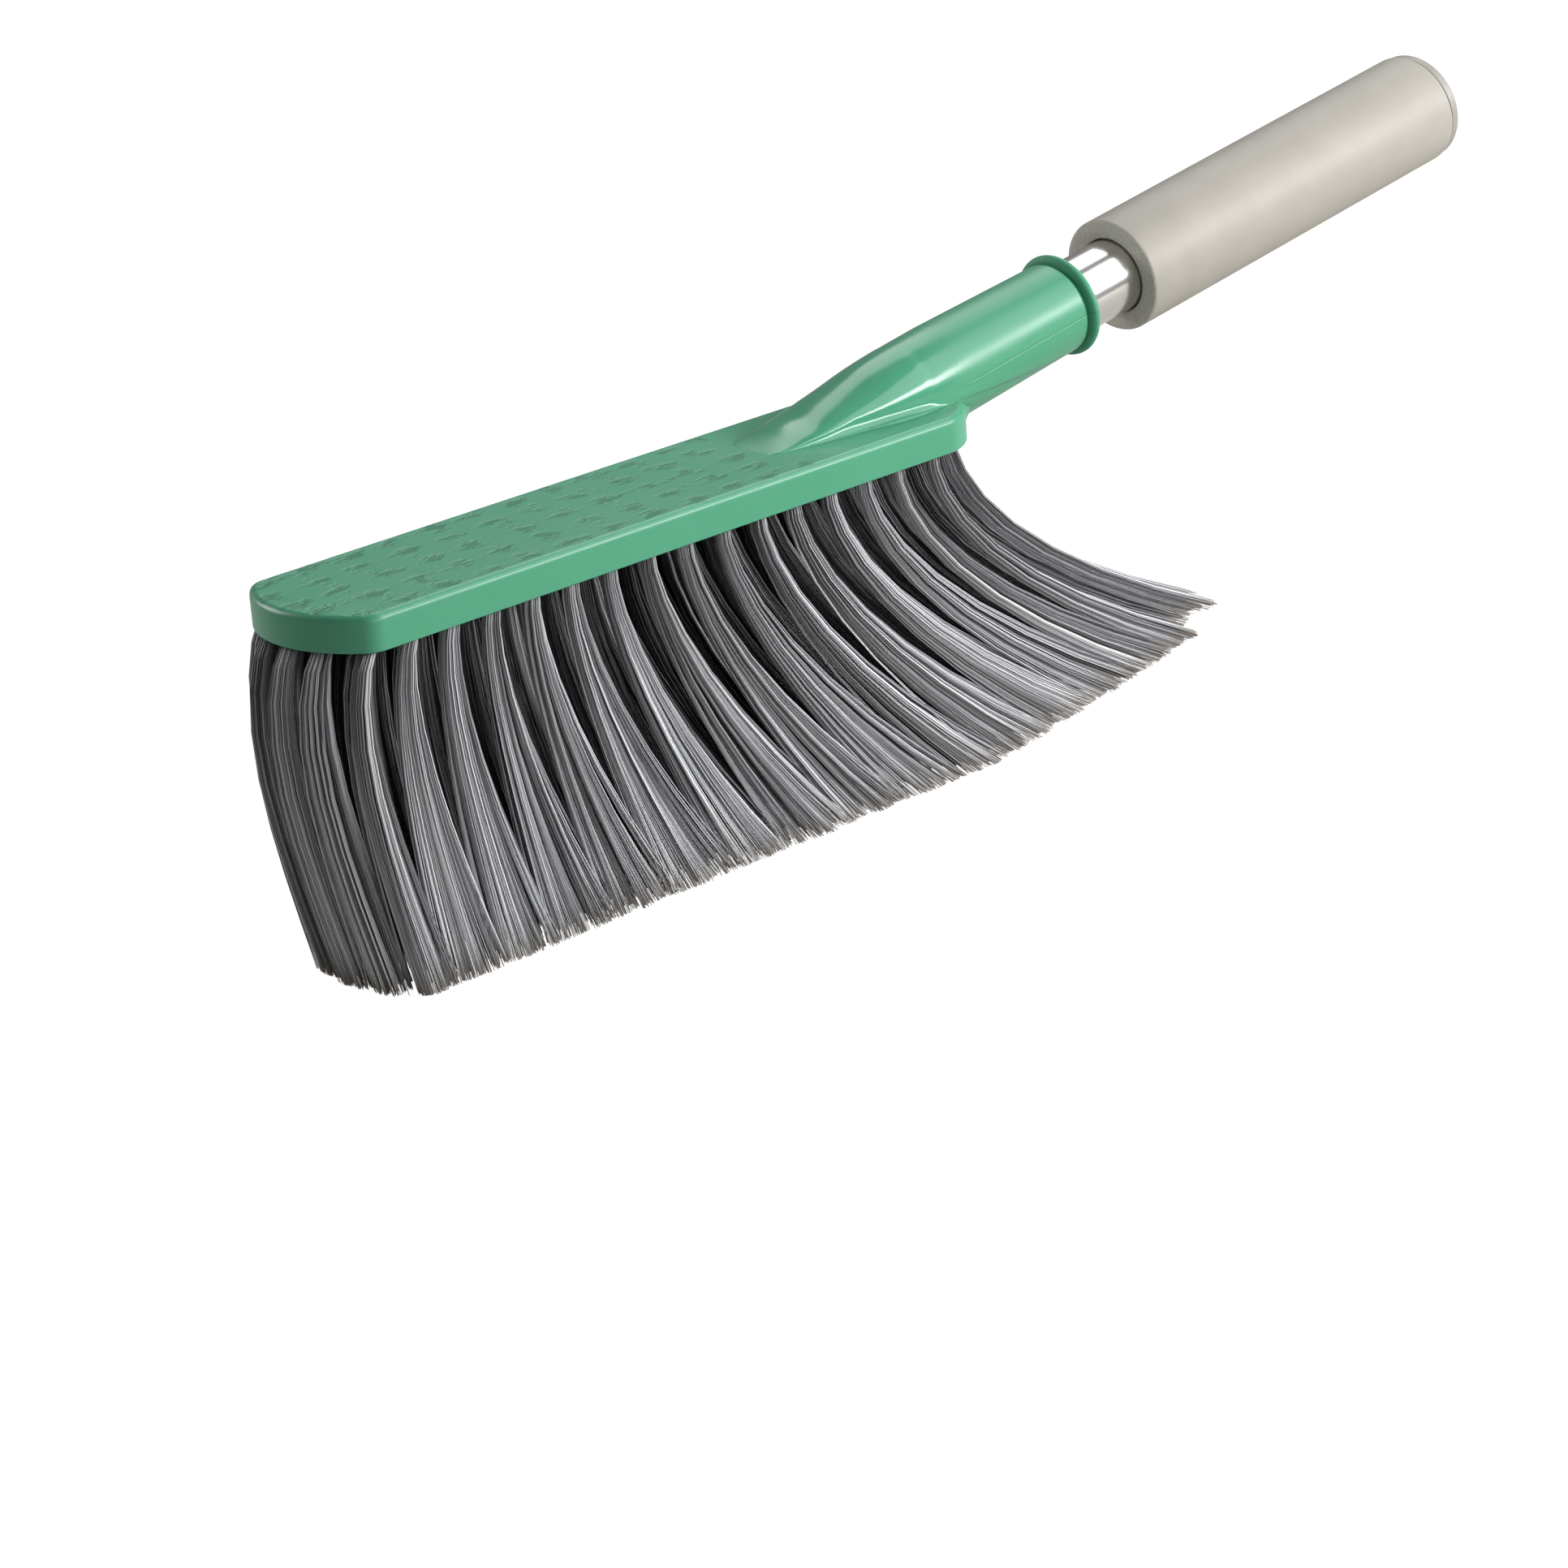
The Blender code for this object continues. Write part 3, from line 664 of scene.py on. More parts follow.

# %% [markdown]
# ## Green plastic
#
# The moulding is a glossy polypropylene, and up close it isn't one colour. Thick parts cool last and sink a
# little, so faint broken dashes show on the top over the tuft holes, and the plastic is wavy at the neck's
# foot. The mould is polished low on the neck and duller elsewhere. It leaves a fine parting line on the
# socket, level with the handle's axis, and one small round gate mark near the toe. Each of these is a mask
# made of places in metres, which changes the roughness or presses the surface in or out. The dashes and the
# parting line are also painted darker, as painted shade in their shallow hollows.

# %% Sizes of the marks
GREEN = from_srgb(70, 154, 118)
GREEN_PALE = from_srgb(86, 164, 132)
# The darkest green is painted shade, for the hollows of the sink dashes and the parting line
PAINTED_SHADE_GREEN = from_srgb(44, 116, 84)
ROW_PITCH = OUTER_ROW / 2
TOE_CURVE = 0.5 / (bow_radius(TOE_BOW) - TOE_MARGIN)
HEEL_CURVE = 0.5 / (bow_radius(HEEL_BOW) - HEEL_MARGIN)
# Each pair below is where a mask starts to change and where it has changed fully
TOP_EDGE = (-0.0005, 0.0)
TOP_LIMIT = 0.0001
TOP_END = NECK_START + 0.004
DASH_SCALE = (220.0, 420.0, 40.0)
WAVE_SHARE = 0.35
DASH_SHARE = 3.0
SINK_LEVELS = (1.5, 2.4)
GATE_MARK = Vector((-0.0005, -0.0075, BLOCK_THICKNESS))
GATE_INSIDE = (0.0007, 0.001)
GATE_OUTSIDE = (0.0012, 0.0016)
PARTING_START = (NECK_END + 0.004, NECK_END + 0.006)
PARTING_EDGE = (0.00006, 0.00024)
RAISED_EDGE = (-0.0004, 0.0002)
RIPPLE_SCALE = (40.0, 300.0, 300.0)
RIPPLE_START = (NECK_START + 0.012, NECK_START + 0.024)
RIPPLE_TOP = (0.0008, 0.003)
POLISH_START = (NECK_START, NECK_START + 0.016)
POLISH_END = (0.178, 0.2)
POLISH_TOP = (0.0022, 0.0055)
POLISH_RISE = 0.2
BEAD_START = (SOCKET_END, SOCKET_END + 0.001)

# %% Masks of the marks
plastic = Finish("green_plastic", IOR=1.45)
head_x = plastic.place(0) - HEAD_ORIGIN.x
head_y = plastic.place(1) - HEAD_ORIGIN.y
above_top = plastic.place(2) - (HEAD_ORIGIN.z + BLOCK_THICKNESS)
raised = plastic.ramp(above_top, *RAISED_EDGE)

flat_top = plastic.ramp(above_top, *TOP_EDGE) * (above_top < TOP_LIMIT) * (head_x < TOP_END)
first_rank = head_y * head_y * TOE_CURVE - (TOE_BOW - TOE_MARGIN)
last_rank = (BLOCK_LENGTH + HEEL_BOW - HEEL_MARGIN) - head_y * head_y * HEEL_CURVE
rank_turn = (head_x - first_rank) / (last_rank - first_rank) * ((RANK_COUNT - 1) * 2 * math.pi)
rank_wave = plastic.node("ShaderNodeMath", {"operation": "COSINE"}, {0: rank_turn})
row_turn = head_y * (2 * math.pi / ROW_PITCH)
row_wave = plastic.node("ShaderNodeMath", {"operation": "COSINE"}, {0: row_turn})
dash = plastic.noise(1.0, 3.0, 0.6, plastic.stretched(DASH_SCALE))
over_holes = rank_wave * WAVE_SHARE + row_wave * WAVE_SHARE + dash * DASH_SHARE
sink = plastic.ramp(over_holes, *SINK_LEVELS) * flat_top

ends = {0: plastic.place(), 1: HEAD_ORIGIN + GATE_MARK}
around = plastic.node("ShaderNodeVectorMath", {"operation": "DISTANCE"}, ends, out="Value")
gate = plastic.ramp(around, *GATE_INSIDE) * (1 - plastic.ramp(around, *GATE_OUTSIDE))

level = plastic.far_along(AXIS_FRAME.to_3x3() @ Vector((-1.0, 0.0, 0.0)), AXIS_FRAME.translation)
parting = (1 - plastic.ramp(abs(level), *PARTING_EDGE)) * plastic.ramp(head_x, *PARTING_START)

wavy = plastic.ramp(head_x, *RIPPLE_START) * (1 - plastic.ramp(above_top, *RIPPLE_TOP))
ripple = plastic.noise(1.0, 1.0, 0.5, plastic.stretched(RIPPLE_SCALE)) * wavy * raised

on_neck = plastic.ramp(head_x, *POLISH_START) * (1 - plastic.ramp(head_x, *POLISH_END))
low_down = 1 - plastic.ramp(above_top - (head_x - NECK_START) * POLISH_RISE, *POLISH_TOP)
polished = on_neck * low_down * raised
axis_way = AXIS_FRAME.to_3x3() @ Vector((0.0, 0.0, 1.0))
along_axis = plastic.far_along(axis_way, AXIS_FRAME.translation)
on_bead = plastic.ramp(along_axis, *BEAD_START)
print("masks of the moulding ready")

# %% Finish of the moulding
CLOUD_TINT = 0.6
SPECK_TINT = 0.15
# Painted shade: how far the sink dashes and the parting line are painted towards the darkest green
SINK_PAINTED_SHADE = 0.7
PARTING_PAINTED_SHADE = 0.35
PLASTIC_ROUGHNESS = 0.3
PATCH_DULLNESS = 0.08
BEAD_DULLNESS = 0.22
POLISH = 0.2
GATE_HEIGHT = 0.4
SINK_DEPTH = 0.8
PARTING_DEPTH = 0.4
RIPPLE_HEIGHT = 1.3
PRESS_DISTANCE = 0.0005
PRESS_STRENGTH = 0.5

cloud = plastic.noise(45.0, 3.0)
speck = plastic.noise(900.0, 2.0)
clean = plastic.mix(cloud * CLOUD_TINT + speck * SPECK_TINT, GREEN, GREEN_PALE)
# Painted shade in the hollows of the sink dashes and the parting line
painted_hollow_shade = sink * SINK_PAINTED_SHADE + parting * PARTING_PAINTED_SHADE
plastic.set("Base Color", plastic.mix(painted_hollow_shade, clean, PAINTED_SHADE_GREEN))
dullness = plastic.noise(60.0, 2.0) * PATCH_DULLNESS + PLASTIC_ROUGHNESS
plastic.set("Roughness", dullness - polished * POLISH + on_bead * BEAD_DULLNESS)
pressed = gate * GATE_HEIGHT - sink * SINK_DEPTH - parting * PARTING_DEPTH + ripple * RIPPLE_HEIGHT
plastic.set("Normal", plastic.bump(pressed, PRESS_DISTANCE, PRESS_STRENGTH))
hand_over(head, plastic, "green_plastic", "brush_head")

# %% [markdown]
# ## The way the bristles grow
#
# The bristles stand nearly upright at the toe and sweep further and further back towards the handle. One
# formula gives the whole flow: where a bristle is rooted says how far its tip is swept, and how deep a point
# lies says how much of that sweep it has done. Because the sweep only grows from toe to heel, no two paths of
# the formula cross.

# %% Flow of the bristles
REACH = 0.082
SWEEP_TOE = 0.006
SWEEP_HEEL = 0.084
SWEEP_LENGTH = 0.19
SWEEP_SKEW = 0.84
BEND_TOE = 1.45
BEND_HEEL = 1.75
BEND_START = 0.1
TOE_BULGE = 0.008
BULGE_LENGTH = 0.035
BULGE_SKEW = 0.6
LIFT_START = 0.1185
LIFT_LENGTH = 0.0715
LIFT = 0.0155
DEPTH_SHARES = np.array((-0.02, 0.05, 0.14, 0.26, 0.4, 0.55, 0.7, 0.85, 1.0))


def flow(base, depth):
    """Where bristles rooted at base along the block are at each share of their depth."""
    share = np.clip(base / SWEEP_LENGTH, 0.0, 1.0)
    swept = SWEEP_TOE + SWEEP_HEEL * np.sin(np.pi / 2 * share**SWEEP_SKEW) ** 2
    late = np.clip((base - BEND_START) / (SWEEP_LENGTH - BEND_START), 0.0, 1.0)
    bend = BEND_TOE + (BEND_HEEL - BEND_TOE) * late
    reach = REACH - LIFT * np.clip((base - LIFT_START) / LIFT_LENGTH, 0.0, 1.0)
    down = np.clip(depth, 0.0, 1.0)
    near_toe = np.exp(-np.maximum(base + TOE_BOW, 0.0) / BULGE_LENGTH)
    bulge = TOE_BULGE * near_toe * np.sin(np.pi * down**BULGE_SKEW)
    return base + swept * down**bend - bulge, -reach * depth


x, z = flow(np.array((0.0, 0.09, 0.175)), 1.0)
print("tips at x", np.round(x, 3), "and z", np.round(z, 3))

# %% [markdown]
# ## One bristle, many times
#
# A bristle is a thin three-sided rod: a triangle, pulled out eight times. Over a thousand copies of it are
# read into one mesh for each rank of tufts, and then every copy is laid along its own path with numpy, which
# moves all the corners at once. Random numbers come from one seeded source, so every run gives one brush.

# %% The rod
RINGS = len(DEPTH_SHARES)


def rod_mesh():
    bm = bmesh.new()
    bmesh.ops.create_circle(bm, cap_ends=True, segments=3, radius=1.0)
    for step in range(1, RINGS):
        end = [face for face in bm.faces if all(abs(v.co.z - (step - 1)) < 0.5 for v in face.verts)]
        pulled = bmesh.ops.extrude_face_region(bm, geom=end[-1:])
        moved = [item for item in pulled["geom"] if isinstance(item, bmesh.types.BMVert)]
        bmesh.ops.translate(bm, vec=(0.0, 0.0, 1.0), verts=moved)
        if step > 1:
            bmesh.ops.delete(bm, geom=end[-1:], context="FACES_ONLY")
    bmesh.ops.recalc_face_normals(bm, faces=bm.faces)
    mesh = bpy.data.meshes.new("rod")
    bm.to_mesh(mesh)
    open_edges = sum(1 for edge in bm.edges if len(edge.link_faces) != 2)
    print("rod", len(bm.verts), "corners,", len(bm.faces), "faces,", open_edges, "open edges")
    bm.free()
    return mesh


rod = rod_mesh()
rod_corners = np.empty(len(rod.vertices) * 3)
rod.vertices.foreach_get("co", rod_corners)
rod_corners = rod_corners.reshape(-1, 3)
rod_rings = np.rint(rod_corners[:, 2]).astype(int)

# %% [markdown]
# ## Tufts
#
# A tuft leaves its hole as a tight round bundle. On the way down it fans out until it meets its neighbours,
# and its bristles draw together into fine locks, which gives the brush its light and dark lines. Each lock
# wanders a little from its course, and a few strays leave theirs and cross the gaps. The outer rows fan out
# late, so dark gaps part their tufts near the block. The cut tips of one tuft are not quite level.

# %% Sizes of a tuft
BRISTLES_PER_TUFT = 230
BRISTLE_RADIUS = 0.00016
WALL_ROOM = 1.5  # bristle radii between a tuft's middle lines and its hole
SHAKE = 0.05
LOCKS_PER_TUFT = 36
LOCK_REACH = 0.95
LOCK_PULL = 0.55
LOCK_END = 0.85
LOCK_WANDER = 0.0007
LOCK_SHADE = 0.8
STRAY_SHARE = 0.03
STRAY_WANDER = 0.0012
OWN_WANDER = 0.0002
OWN_SHADE = 0.6
TURN_BACK = -0.3
SIDE_SOFT = 0.0202
SIDE_ROOM = 0.0018
SIDE_FLARE = 0.06
FAN = (3.7, 2.4)
OPEN_FAN = 1.2
OUTER_FAN_POWER = 1.2
END_FAN_POWER = 0.45
INNER_FAN_POWER = 0.22
# The inner rows are painted darker, as painted shade between the tufts
INNER_ROW_PAINTED_SHADE = 1.0
TRIM_DOME = 0.003
TRIM_OWN = 0.0012
TRIM_TUFT = 0.003
TAPER = 0.35
ROW_COUNT = len(ROW_SHARES)
random = np.random.default_rng(7)


def bundle(count, radius):
    """Places spread evenly over a disc, as in a sunflower, and shaken a little."""
    number = np.arange(count) + 0.5
    out = radius * np.sqrt(number / count)
    angle = number * math.pi * (3 - math.sqrt(5)) + random.uniform(0, 2 * math.pi)
    places = np.stack((out * np.cos(angle), out * np.sin(angle)), axis=1)
    return places + random.normal(0.0, radius * SHAKE, places.shape)


def held_in(y):
    """Presses back what would stand out past the sides, ever more the further out it is."""
    over = np.maximum(np.abs(y) - SIDE_SOFT, 0.0)
    held = SIDE_SOFT + SIDE_ROOM * np.tanh(over / SIDE_ROOM)
    return np.where(over > 0.0, np.sign(y) * held, y)


# %% Paths of one tuft
def tuft_paths(rank, row):
    """The paths of a tuft's bristles, as an array of bristle, depth and place, and a shade for each."""
    x, y = tuft_places(rank)[row]
    start = bundle(BRISTLES_PER_TUFT, HOLE_RADIUS - BRISTLE_RADIUS * WALL_ROOM)
    locks = bundle(LOCKS_PER_TUFT, HOLE_RADIUS * LOCK_REACH)
    nearest = np.argmin(((start[:, None, :] - locks[None, :, :]) ** 2).sum(axis=2), axis=1)
    lock_shade = random.normal(0.0, LOCK_SHADE, LOCKS_PER_TUFT)[nearest]
    down = np.clip(DEPTH_SHARES, 0.0, 1.0)[None, :, None]
    pull = LOCK_PULL * np.sin(LOCK_END * np.pi * down)
    stray = (random.random(BRISTLES_PER_TUFT) < STRAY_SHARE)[:, None]
    wander = random.normal(0.0, 1.0, start.shape) * np.where(stray, STRAY_WANDER, OWN_WANDER)
    wander += random.normal(0.0, LOCK_WANDER, locks.shape)[nearest]
    offset = start[:, None, :] * (1 - pull) + locks[nearest][:, None, :] * pull
    open_side = np.array(((rank == RANK_COUNT - 1) - (rank == 0), (row == ROW_COUNT - 1) - (row == 0)))
    grown = np.where(start * open_side > 0.0, OPEN_FAN, np.array(FAN)) - 1
    wander = np.where(wander * open_side > 0.0, TURN_BACK * wander, wander)
    end_rank, side_row = rank in (0, RANK_COUNT - 1), row in (0, ROW_COUNT - 1)
    power = OUTER_FAN_POWER if side_row else END_FAN_POWER if end_rank else INNER_FAN_POWER
    offset = offset * (1 + grown[:, None, :] * down**power) + wander[:, None, :] * down
    out = (start**2).sum(axis=1) / HOLE_RADIUS**2
    own_trim = np.abs(random.normal(0.0, TRIM_OWN, BRISTLES_PER_TUFT))
    trim = 1 - TRIM_DOME * out - own_trim - random.uniform(0.0, TRIM_TUFT)
    place_x, place_z = flow(x + offset[:, :, 0], DEPTH_SHARES[None, :] * trim[:, None])
    place_y = held_in(y * (1 + SIDE_FLARE * down[:, :, 0]) + offset[:, :, 1])
    # Painted shade: the inner rows' bristles are painted darker, for the shade that falls between the tufts
    painted_inner_shade = 0.0 if side_row or end_rank else INNER_ROW_PAINTED_SHADE
    shade = lock_shade + random.normal(0.0, OWN_SHADE, BRISTLES_PER_TUFT) - painted_inner_shade
    return np.stack((place_x, place_y, place_z), axis=2), shade


paths, shades = tuft_paths(3, 0)
print("a tuft spreads from", np.ptp(paths[:, 1, 0]).round(4), "to", np.ptp(paths[:, -1, 0]).round(4))


# %% Laying the rods
def lay_rods(paths):
    """Every corner of every rod, laid round its path."""
    along = np.gradient(paths, axis=1)
    along /= np.linalg.norm(along, axis=2, keepdims=True)
    side = np.cross(along, np.array((0.0, 1.0, 0.0)))
    side /= np.linalg.norm(side, axis=2, keepdims=True)
    across = np.cross(side, along)
    spin = random.uniform(0.0, 2 * math.pi, len(paths))[:, None]
    corner_angle = np.arctan2(rod_corners[:, 1], rod_corners[:, 0])[None, :] + spin
    taper = (1.0 - TAPER * np.clip(DEPTH_SHARES, 0.0, 1.0) ** 2)[rod_rings][None, :, None]
    middle, right, up = paths[:, rod_rings], side[:, rod_rings], across[:, rod_rings]
    round_it = right * np.cos(corner_angle)[:, :, None] + up * np.sin(corner_angle)[:, :, None]
    return middle + round_it * BRISTLE_RADIUS * taper


def rank_piece(rank):
    paths, shades = zip(*(tuft_paths(rank, row) for row in range(ROW_COUNT)))
    paths, shades = np.concatenate(paths), np.concatenate(shades)
    bm = bmesh.new()
    for _ in range(len(paths)):
        bm.from_mesh(rod)
    mesh = bpy.data.meshes.new(f"bristle_rank_{rank + 1:02d}")
    bm.to_mesh(mesh)
    bm.free()
    corners = lay_rods(paths) + np.array(HEAD_ORIGIN)
    corners[:, :, 2] = np.maximum(corners[:, :, 2], 0.0)
    mesh.vertices.foreach_set("co", corners.ravel())
    per_corner = np.repeat(shades, len(rod_corners))
    mesh.attributes.new("shade", "FLOAT", "POINT").data.foreach_set("value", per_corner)
    depth = np.tile(DEPTH_SHARES[rod_rings], len(paths))
    mesh.attributes.new("depth", "FLOAT", "POINT").data.foreach_set("value", depth)
    mesh.update()
    mesh.shade_smooth()
    return new_object(mesh.name, mesh)


# %% [markdown]
# ## Grey filament
#
# The bristles are a grey synthetic filament with a satin skin. Each has its own shade, from nearly black to a
# cool white, and their cut ends are worn to a brownish beige. All are painted darker near the block, as
# painted shade under it, and the inner rows darker still, as painted shade between the tufts. Shade and depth
# were stored on the mesh as two attributes, so the material can tell every bristle and every part of it.

# %% Finish of the bristles
TONES = (
    (0.0, from_srgb(48, 48, 50)),
    (0.4, from_srgb(152, 152, 156)),
    (0.7, from_srgb(214, 216, 222)),
    (1.0, from_srgb(252, 253, 255)),
)
WORN = from_srgb(176, 164, 148)
WORN_TIP = (0.93, 1.0)
WORN_SHARE = 0.55
CONTRAST_AT_ROOT = 0.19
CONTRAST_GROWTH = 0.1
# Painted shade: the tone is low at the root, under the block, and rises towards the tips
ROOT_TONE_IN_PAINTED_SHADE = 0.38
TONE_GAIN_OUT_OF_PAINTED_SHADE = 0.28
FILAMENT_ROUGHNESS = 0.32
FILAMENT_DULLNESS = 0.2

filament = Finish("grey_filament", IOR=1.5)
shade = filament.node("ShaderNodeAttribute", {"attribute_name": "shade"}, out="Fac")
depth = filament.node("ShaderNodeAttribute", {"attribute_name": "depth"}, out="Fac")
contrast = depth * CONTRAST_GROWTH + CONTRAST_AT_ROOT
# The rise with depth is painted shade, darker near the block
place_on_ramp = shade * contrast + (depth * TONE_GAIN_OUT_OF_PAINTED_SHADE + ROOT_TONE_IN_PAINTED_SHADE)
tone = filament.node("ShaderNodeValToRGB", {"stops": TONES}, {"Fac": place_on_ramp})
worn = filament.ramp(depth, *WORN_TIP) * WORN_SHARE
filament.set("Base Color", filament.mix(worn, tone, WORN))
filament.set("Roughness", filament.noise(700.0) * FILAMENT_DULLNESS + FILAMENT_ROUGHNESS)

for rank in range(RANK_COUNT):
    piece = rank_piece(rank)
    hand_over(piece, filament, "grey_filament", f"tuft_rank_{rank + 1:02d}")

# %% [markdown]
# ## The tube
#
# A thin polished steel tube runs from the socket into the sleeve. It is a closed profile spun once round the
# handle's axis. Drawing and polishing leave fine lines round it, which only just show.

# %% Tube
TUBE_WALL = 0.0006
GRIP_START = 0.1305
GRIP_LENGTH = 0.12
ROUND_STEPS = 128
STEEL = from_srgb(222, 220, 218)
STEEL_LINE = from_srgb(200, 198, 197)
LINE_SCALE = (2500.0, 60.0, 60.0)
LINE_TINT = 0.4
LINE_DULLNESS = 0.06
STEEL_ROUGHNESS = 0.16

tube_start, tube_end = BORE_START + CLEARANCE, GRIP_START + GRIP_LENGTH
tube_profile = [
    (TUBE_RADIUS, tube_end),
    (TUBE_RADIUS, tube_start),
    (TUBE_RADIUS - TUBE_WALL, tube_start),
    (TUBE_RADIUS - TUBE_WALL, tube_end),
]
tube = new_object("steel_tube", spun(tube_profile, ROUND_STEPS, "steel_tube"))
smooth(tube.data)

steel = Finish("polished_steel", Metallic=1.0)
lines = steel.noise(1.0, 2.0, 0.5, steel.stretched(LINE_SCALE))
steel.set("Base Color", steel.mix(lines * LINE_TINT, STEEL, STEEL_LINE))
steel.set("Roughness", lines * LINE_DULLNESS + STEEL_ROUGHNESS)
hand_over(tube, steel, "polished_steel", "handle_tube")

# %% [markdown]
# ## The sleeve
#
# The sleeve is closed-cell foam with a smooth skin. Its end is a plain cut, so the open cells show there as a
# paler, speckled face.

# %% Sleeve
GRIP_RADIUS = 0.0146
GRIP_EDGE = 0.0007
GRIP_EDGE_STEPS = 6
GRIP_BORE_EDGE = 0.0004
GRIP_SHARP_FROM = 50.0


def rounded(along, first, last):
    """A quarter round in the sleeve's profile, from one angle to another about a corner's centre."""
    angles = np.linspace(math.radians(first), math.radians(last), GRIP_EDGE_STEPS)
    out = GRIP_RADIUS - GRIP_EDGE
    return [(out + GRIP_EDGE * math.cos(a), along + GRIP_EDGE * math.sin(a)) for a in angles]


grip_bore = TUBE_RADIUS + CLEARANCE
grip_end = GRIP_START + GRIP_LENGTH
grip_profile = [(grip_bore, grip_end)]
grip_profile += rounded(grip_end - GRIP_EDGE, 90, 0)
grip_profile += [(GRIP_RADIUS, GRIP_START + GRIP_LENGTH * share) for share in (0.8, 0.6, 0.4, 0.2)]
grip_profile += rounded(GRIP_START + GRIP_EDGE, 0, -90)
grip_profile += [(grip_bore + GRIP_BORE_EDGE, GRIP_START), (grip_bore, GRIP_START + GRIP_BORE_EDGE)]
grip = new_object("foam_sleeve", spun(grip_profile, ROUND_STEPS, "foam_sleeve"))
smooth(grip.data, GRIP_SHARP_FROM)

# %% Finish of the sleeve
SKIN = (from_srgb(160, 156, 148), from_srgb(172, 168, 160))
CUT_FACE = (from_srgb(188, 184, 176), from_srgb(214, 210, 202))
CUT_EDGE = (0.0001, 0.0005)
CELL_SCALE = 1500.0
SKIN_ROUGHNESS = 0.52
CUT_DULLNESS = 0.3
CELL_DEPTH = 0.4
GRAIN_DEPTH = 0.1
FOAM_BUMP = 0.00025

foam = Finish("warm_grey_foam")
from_cut = foam.far_along(axis_way, AXIS_FRAME @ Vector((0.0, 0.0, GRIP_START)))
cut = 1 - foam.ramp(from_cut, *CUT_EDGE)
cells = foam.node("ShaderNodeTexVoronoi", {}, {"Scale": CELL_SCALE, "Vector": foam.place()}, out="Distance")
foam.set("Base Color", foam.mix(cut, foam.mix(foam.noise(120.0, 3.0), *SKIN), foam.mix(cells, *CUT_FACE)))
foam.set("Roughness", cut * CUT_DULLNESS + SKIN_ROUGHNESS)
grain = cells * cut * CELL_DEPTH + foam.noise(2400.0) * GRAIN_DEPTH
foam.set("Normal", foam.bump(grain, FOAM_BUMP, 0.5))
hand_over(grip, foam, "warm_grey_foam", "grip_sleeve")

# %% [markdown]
# ## The plug
#
# A plug closes the far end of the tube. Its spigot sits in the tube, and its low head, which is flat with a
# rounded edge, covers the sleeve's end.

# %% Plug
PLUG_RADIUS = 0.0142
PLUG_FACE_RADIUS = 0.0112
PLUG_HEAD = 0.0035
PLUG_SPIGOT = 0.012
PLUG_CHAMFER = 0.001
PLUG_EDGE_STEPS = 12
PLUG_SIDES = 96
PLUG_GREYS = (from_srgb(150, 147, 141), from_srgb(160, 157, 151))
PLUG_ROUGHNESS = 0.36
PLUG_DULLNESS = 0.15
PLUG_BUMP = 0.0001

seat = grip_end + CLEARANCE
spigot_radius = TUBE_RADIUS - TUBE_WALL - CLEARANCE
plug_profile = [(0.0, seat + PLUG_HEAD)]
for step in range(PLUG_EDGE_STEPS + 1):
    angle = math.pi / 2 * step / PLUG_EDGE_STEPS
    out = PLUG_FACE_RADIUS + (PLUG_RADIUS - PLUG_FACE_RADIUS) * math.sin(angle)
    plug_profile.append((out, seat + PLUG_HEAD / 2 * (1 + math.cos(angle))))
plug_profile += [
    (PLUG_RADIUS, seat),
    (spigot_radius, seat),
    (spigot_radius, seat - PLUG_SPIGOT + PLUG_CHAMFER),
    (spigot_radius - PLUG_CHAMFER, seat - PLUG_SPIGOT),
    (0.0, seat - PLUG_SPIGOT),
]
plug = new_object("handle_plug", spun(plug_profile, PLUG_SIDES, "handle_plug"))
smooth(plug.data)

dull = Finish("grey_plastic")
dull.set("Base Color", dull.mix(dull.noise(150.0, 3.0), *PLUG_GREYS))
dull.set("Roughness", dull.noise(500.0) * PLUG_DULLNESS + PLUG_ROUGHNESS)
dull.set("Normal", dull.bump(dull.noise(3200.0), PLUG_BUMP, 0.3))
hand_over(plug, dull, "grey_plastic", "end_plug")

# %% [markdown]
# ## Floor and light
#
# The brush stands on a plain pale floor. To the camera the floor is mostly white, and it still takes the
# brush's shadow. Mirrors show only a little of that white, so the green keeps its depth. A large soft lamp
# high on the right gives the broad pale band on the socket, and a low narrow one under it the streak on the
# neck. A weak one in front lights the bristles, and two more behind the brush lift its far side and the cut
# end of the sleeve. The world gives dim even light, and it looks white only to the camera.

# %% Floor
FLOOR_SIZE = 6.0
FLOOR_COLOUR = (0.42, 0.4, 0.365, 1.0)
FLOOR_ROUGHNESS = 0.9
FLOOR_GLOW = 1.6
WHITE = (1.0, 1.0, 1.0, 1.0)
GLOW_SEEN = 0.6
GLOW_IN_MIRRORS = 0.15

floor_bm = bmesh.new()
bmesh.ops.create_grid(floor_bm, x_segments=1, y_segments=1, size=FLOOR_SIZE)
floor_mesh = bpy.data.meshes.new("floor")
floor_bm.to_mesh(floor_mesh)
floor_bm.free()
floor = new_object("floor", floor_mesh)

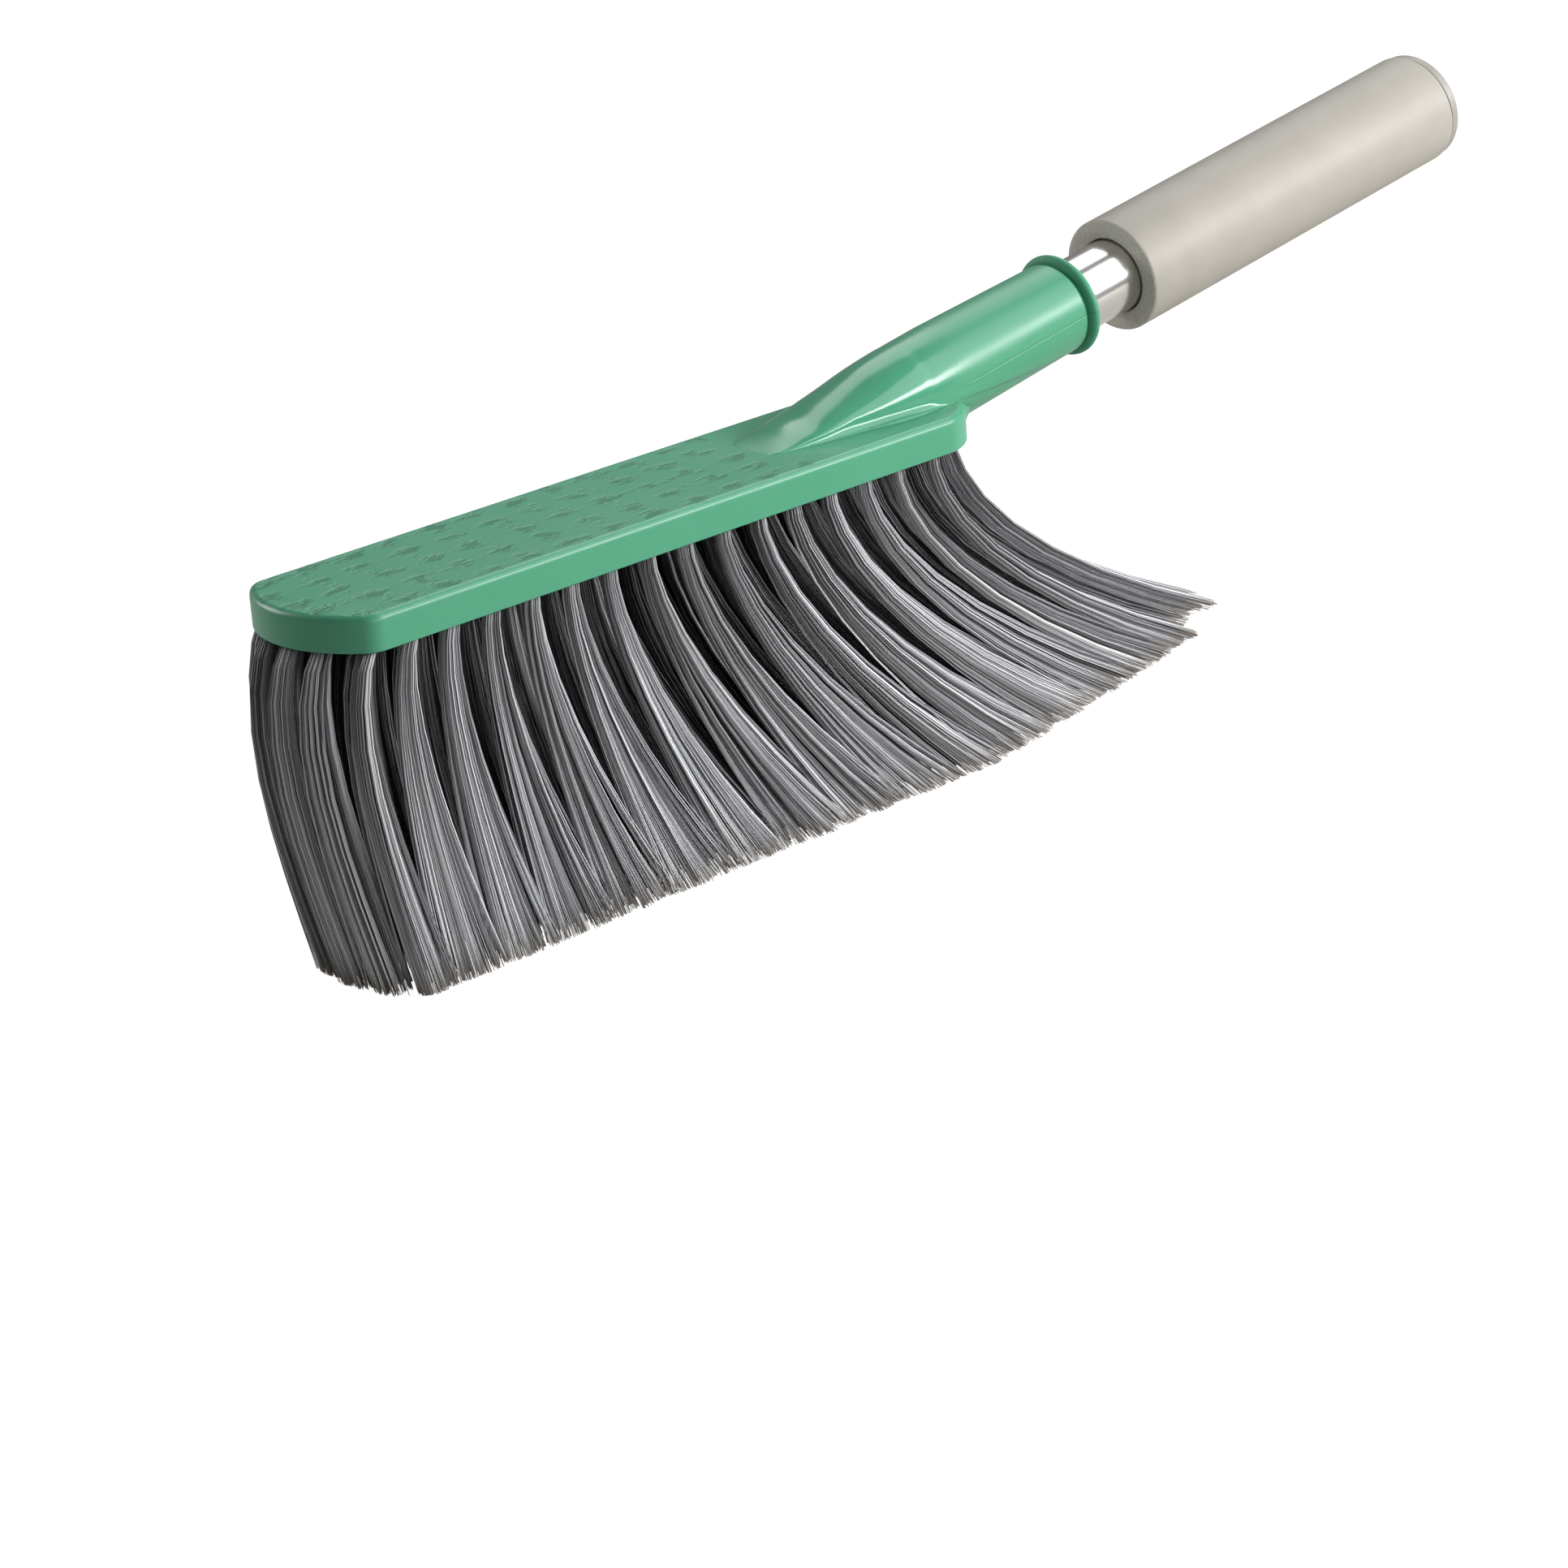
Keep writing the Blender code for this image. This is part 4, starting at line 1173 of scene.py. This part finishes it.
pale = Finish("pale_floor", Base_Color=FLOOR_COLOUR, Roughness=FLOOR_ROUGHNESS)
glow = pale.node("ShaderNodeEmission", {}, {"Color": WHITE, "Strength": FLOOR_GLOW}, out="Emission")
shaded = Wire(pale, pale.shader.outputs[0])
mirrored = pale.ray("Glossy") + pale.ray("Transmission")
share = pale.ray("Camera") * GLOW_SEEN + mirrored * GLOW_IN_MIRRORS
blend = pale.node("ShaderNodeMixShader", {}, {0: share, 1: shaded, 2: glow}, out="Shader")
output = pale.tree.nodes["Material Output"]
pale.join(output.inputs["Surface"], blend)
floor.data.materials.append(pale.material)
print("floor", FLOOR_SIZE * 2, "m wide")


# %% Lamps
def soft_lamp(name, place, target, size, power):
    data = bpy.data.lights.new(name, "AREA")
    data.shape = "RECTANGLE"
    data.size, data.size_y = size
    data.energy = power
    lamp = bpy.data.objects.new(name, data)
    lamp.location = place
    lamp.rotation_euler = (Vector(target) - Vector(place)).to_track_quat("-Z", "Y").to_euler()
    bpy.context.scene.collection.objects.link(lamp)
    print(name, "at", place)


soft_lamp("key_lamp", (0.74, -0.68, 0.82), (0.0, 0.0, 0.1), (1.1, 0.85), 8.5)
soft_lamp("streak_lamp", (0.75, -0.92, 0.46), (0.0, 0.0, 0.1), (0.95, 0.2), 12.0)
soft_lamp("front_lamp", (-0.05, -1.3, 0.4), (-0.1, 0.0, 0.05), (0.7, 0.6), 4.2)
soft_lamp("toe_lamp", (-0.55, 1.1, 0.6), (0.0, 0.0, 0.06), (0.6, 0.6), 7.2)
soft_lamp("back_lamp", (0.7, 0.5, 1.0), (0.0, 0.0, 0.1), (0.9, 0.6), 4.6)

# %% World
WORLD_LIGHT = 0.12
WORLD_IN_MIRRORS = 0.1

world = bpy.context.scene.world or bpy.data.worlds.new("studio")
bpy.context.scene.world = world
world.use_nodes = True
sky = Graph(world.node_tree)
mirrored = sky.ray("Glossy") + sky.ray("Transmission")
strength = sky.ray("Camera") * (1 - WORLD_LIGHT) + (mirrored * WORLD_IN_MIRRORS + WORLD_LIGHT)
background = sky.tree.nodes["Background"]
sky.join(background.inputs["Color"], WHITE)
sky.join(background.inputs["Strength"], strength)
bpy.context.scene.view_settings.view_transform = "Standard"
print("world light", WORLD_LIGHT)
